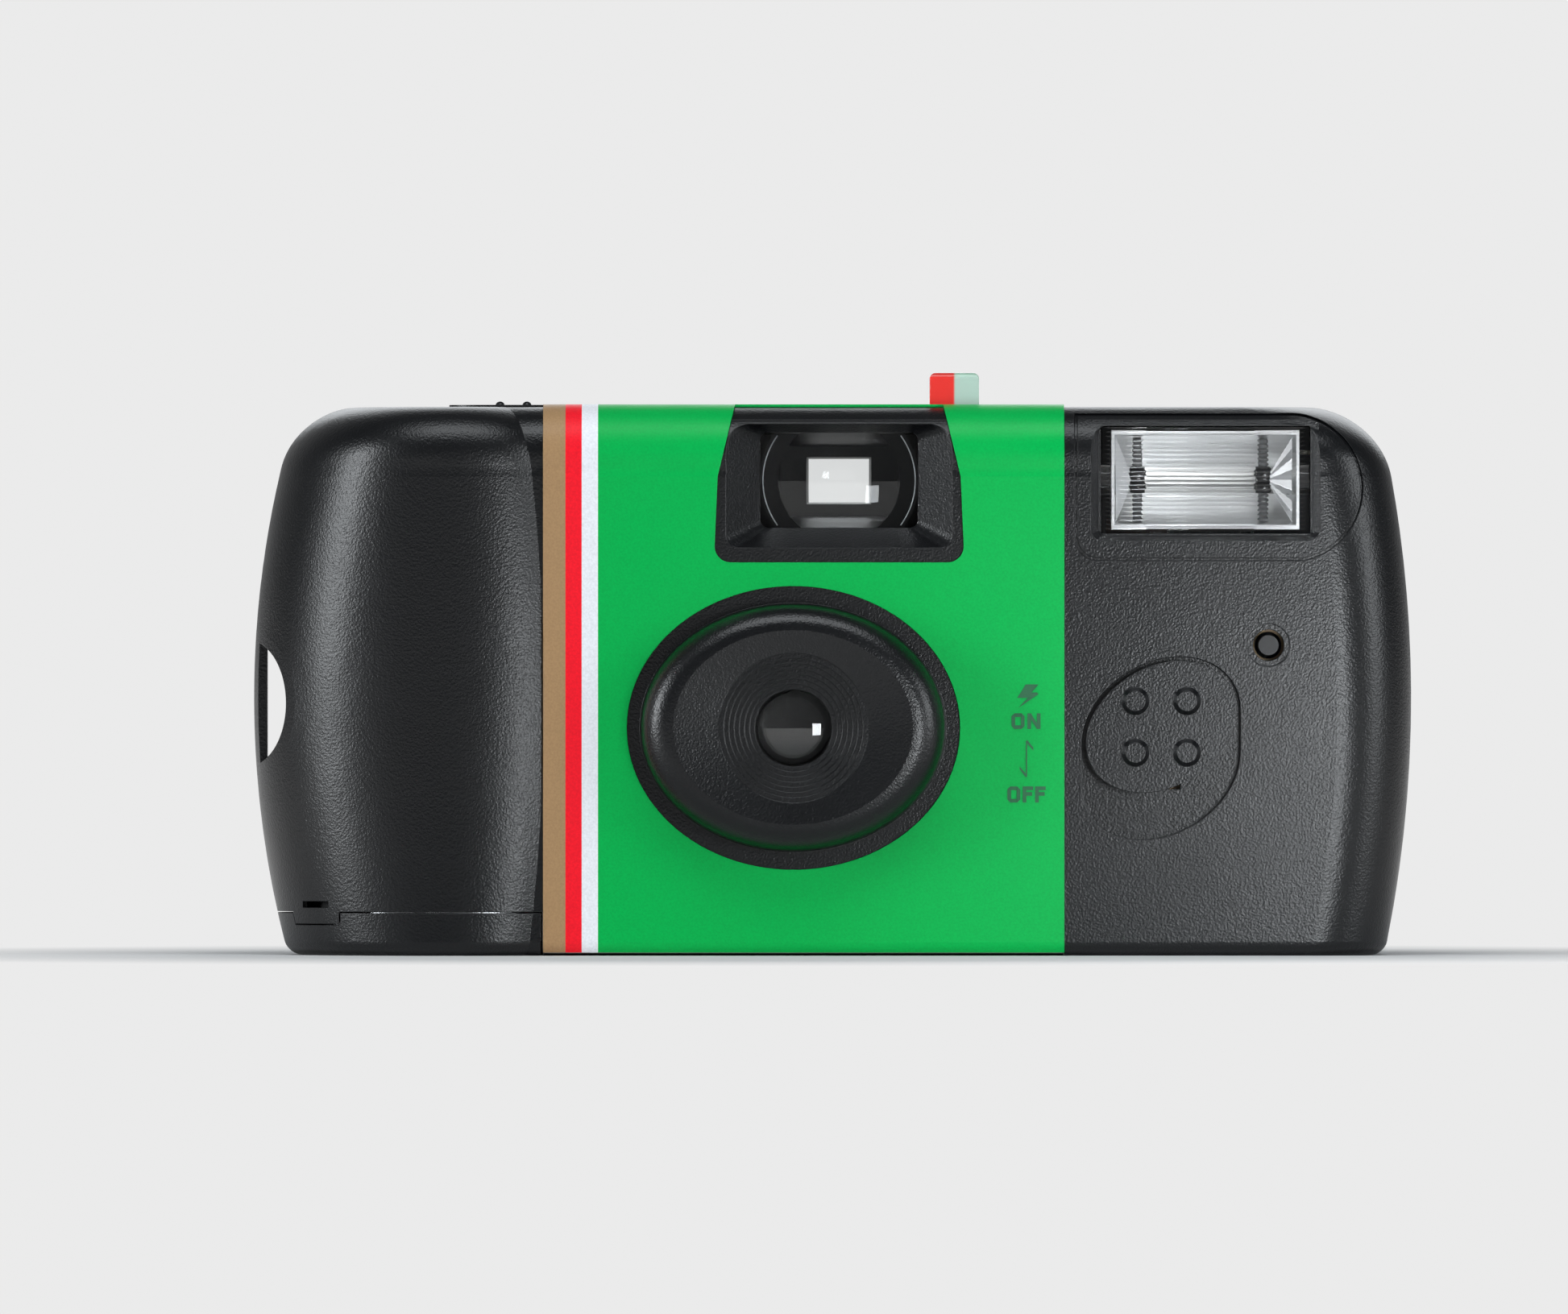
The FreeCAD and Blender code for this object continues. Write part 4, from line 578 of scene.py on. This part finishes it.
cartridge_metal = metal("cartridge_metal", (0.7, 0.71, 0.73), roughness=0.3, stretch=(1.0, 1.0, 0.2),
                        scale=700.0)
film, film_tree, film_shader = new_material("film_base", (0.075, 0.036, 0.024), 0.22)
relief(film_tree, film_shader, noise(film_tree, object_point(film_tree), scale=300.0), depth=0.000002)
felt, felt_tree, felt_shader = new_material("felt", (0.008, 0.008, 0.009), 0.95, Sheen_Weight=0.5)
pile = noise(felt_tree, object_point(felt_tree), scale=6000.0, detail=4.0)
relief(felt_tree, felt_shader, pile, depth=0.00004)
paint(black_inner, "main_body", "cartridge_spool", "supply_spool")
paint(cartridge_metal, "cartridge_shell", "cartridge_end_caps")
paint(film, "film_strip", "film_supply_roll")
paint(felt, "cartridge_felt")

# Flash circuit and cell
# The parts sit on a brown phenolic board behind the front cover. The capacitor lies under the lens, and
# one AAA cell stands at the right end between two plated strips.

board = moulded("board", (0.33, 0.2, 0.075), roughness=0.4, grain=1800.0, depth=0.000004, edge=0.0001)
sleeve = moulded("capacitor_sleeve", (0.018, 0.022, 0.032), roughness=0.25, grain=1500.0, depth=0.000002,
                 edge=0.0002)
winding = metal("winding", (0.62, 0.3, 0.14), roughness=0.35, stretch=(1.0, 1.0, 12.0), scale=400.0,
                depth=0.00002)
black_body = moulded("component_body", (0.02, 0.02, 0.02), roughness=0.45, grain=2600.0, depth=0.000004,
                     edge=0.0001)
tan_body = moulded("resistor_body", (0.5, 0.36, 0.2), roughness=0.3, grain=1500.0, depth=0.000003,
                   edge=0.0001)
lamp_glass = clear("lamp_glass", (1.0, 0.5, 0.3), roughness=0.0)
jacket = moulded("battery_jacket", (0.05, 0.06, 0.075), roughness=0.28, grain=1500.0, depth=0.000002,
                 edge=0.0002)
paint(board, "circuit_board")
paint(sleeve, "main_capacitor")
paint(winding, "transformer", "trigger_coil")
paint(black_body, "transistor")
paint(tan_body, "resistors")
paint(lamp_glass, "ready_lamp")
paint(jacket, "battery")
paint(contact_metal, "battery_contact_lower", "battery_contact_upper", "sync_contact", "charge_contact")

# Studio
# The camera stands on a pale floor, lit by four large soft boxes and a small one close to its right end.
# The floor fades into the pale backdrop away from the object, so only the shadow at its foot is seen.

backdrop = (0.83, 0.83, 0.83, 1.0)
room_light = (0.9, 0.95, 1.0, 1.0)
cool = (0.93, 0.97, 1.0)
floor_half = 3.0
fade_start = 0.058
fade_stop = 0.11
middle = (0.0, 0.0, 0.025)
photo_width_mm = 146.46
photo_x = -0.00448
photo_z = 0.0278
reach = 3.0
scene.view_settings.view_transform = "Standard"


def seen_directly(tree, through=None, mirrored=None):
    """One for camera, see-through and mirror rays, zero for the light that falls on the object."""
    path = add(tree, "ShaderNodeLightPath")
    passed = path.outputs["Is Transmission Ray"]
    turned = path.outputs["Is Glossy Ray"]
    if through is not None:
        passed = combine(tree, "MULTIPLY", passed, through)
        turned = combine(tree, "MULTIPLY", turned, mirrored)
    return combine(tree, "MAXIMUM", path.outputs["Is Camera Ray"], combine(tree, "MAXIMUM", passed, turned))


def room():
    """Pale backdrop all round; mirror rays find it behind the object, and the dark studio in front."""
    world = bpy.data.worlds.new("room")
    world.use_nodes = True
    scene.world = world
    tree = world.node_tree
    shown = tree.nodes["Background"]
    shown.inputs["Color"].default_value = backdrop
    light = add(tree, "ShaderNodeBackground", Color=room_light, Strength=0.07)
    heading = add(tree, "ShaderNodeSeparateXYZ")
    tree.links.new(add(tree, "ShaderNodeTexCoord").outputs["Generated"], heading.inputs[0])
    through = spread(tree, heading.outputs["Y"], 0.05, 1.0, start=-0.1, stop=0.4)
    mirrored = spread(tree, heading.outputs["Y"], 0.0, 0.35, start=0.3, stop=0.95)
    mix = add(tree, "ShaderNodeMixShader")
    tree.links.new(seen_directly(tree, through, mirrored), mix.inputs[0])
    tree.links.new(light.outputs[0], mix.inputs[1])
    tree.links.new(shown.outputs[0], mix.inputs[2])
    tree.links.new(mix.outputs[0], tree.nodes["World Output"].inputs["Surface"])


def floor():
    """Pale sheet that takes the object's shadow near its foot, and is plain backdrop further out."""
    h = floor_half
    mesh = bpy.data.meshes.new("floor")
    mesh.from_pydata([(-h, -h, 0), (h, -h, 0), (h, h, 0), (-h, h, 0)], [], [(0, 1, 2, 3)])
    plane = bpy.data.objects.new("floor", mesh)
    scene.collection.objects.link(plane)
    material, tree, shader = new_material("pale_floor", (0.66, 0.66, 0.66), 0.6, Specular_IOR_Level=0.0)
    point = object_point(tree)
    length = add(tree, "ShaderNodeVectorMath", operation="LENGTH")
    tree.links.new(point, length.inputs[0])
    near = spread(tree, length.outputs["Value"], 1.0, 0.0, fade_start, fade_stop)
    far = add(tree, "ShaderNodeMath", operation="SUBTRACT")
    tree.links.new(seen_directly(tree), far.inputs[0])
    tree.links.new(near, far.inputs[1])
    far.use_clamp = True
    glow = add(tree, "ShaderNodeEmission", Color=backdrop)
    mix = add(tree, "ShaderNodeMixShader")
    tree.links.new(far.outputs[0], mix.inputs[0])
    tree.links.new(shader.outputs[0], mix.inputs[1])
    tree.links.new(glow.outputs[0], mix.inputs[2])
    tree.links.new(mix.outputs[0], tree.nodes["Material Output"].inputs["Surface"])
    relief(tree, shader, noise(tree, point, scale=400.0), depth=0.00005)
    mesh.materials.append(material)


def softbox(name, place, target, width, height, power):
    light = bpy.data.lights.new(name, "AREA")
    light.shape = "RECTANGLE"
    light.size = width
    light.size_y = height
    light.energy = power
    light.color = cool
    lamp = bpy.data.objects.new(name, light)
    lamp.location = place
    lamp.rotation_mode = "QUATERNION"
    lamp.rotation_quaternion = (Vector(target) - Vector(place)).to_track_quat("-Z", "Y")
    scene.collection.objects.link(lamp)


def camera():
    """Long lens square to the front: at the object the picture is as wide as the photograph."""
    lens = bpy.data.cameras.new("view")
    lens.sensor_width = 36.0
    lens.lens = lens.sensor_width * reach * 1000 / photo_width_mm
    lens.clip_start = 0.1
    lens.clip_end = 20.0
    view = bpy.data.objects.new("view", lens)
    view.location = (photo_x, -reach, photo_z)
    view.rotation_euler = (math.pi / 2, 0.0, 0.0)
    scene.collection.objects.link(view)
    scene.camera = view


room()
floor()
softbox("box_left", (-1.0, -0.4, 0.1), middle, width=0.2, height=0.8, power=11.0)
softbox("box_right", (1.05, -0.52, 0.12), middle, width=0.35, height=0.8, power=6.5)
softbox("box_top", (0.0, -0.45, 0.9), middle, width=0.9, height=0.45, power=5.8)
softbox("box_back", (0.1, 0.9, 0.45), middle, width=0.8, height=0.5, power=2.6)
softbox("box_near", (0.066, -0.14, 0.004), (0.06, 0.0, 0.004), width=0.03, height=0.06, power=0.14)
camera()
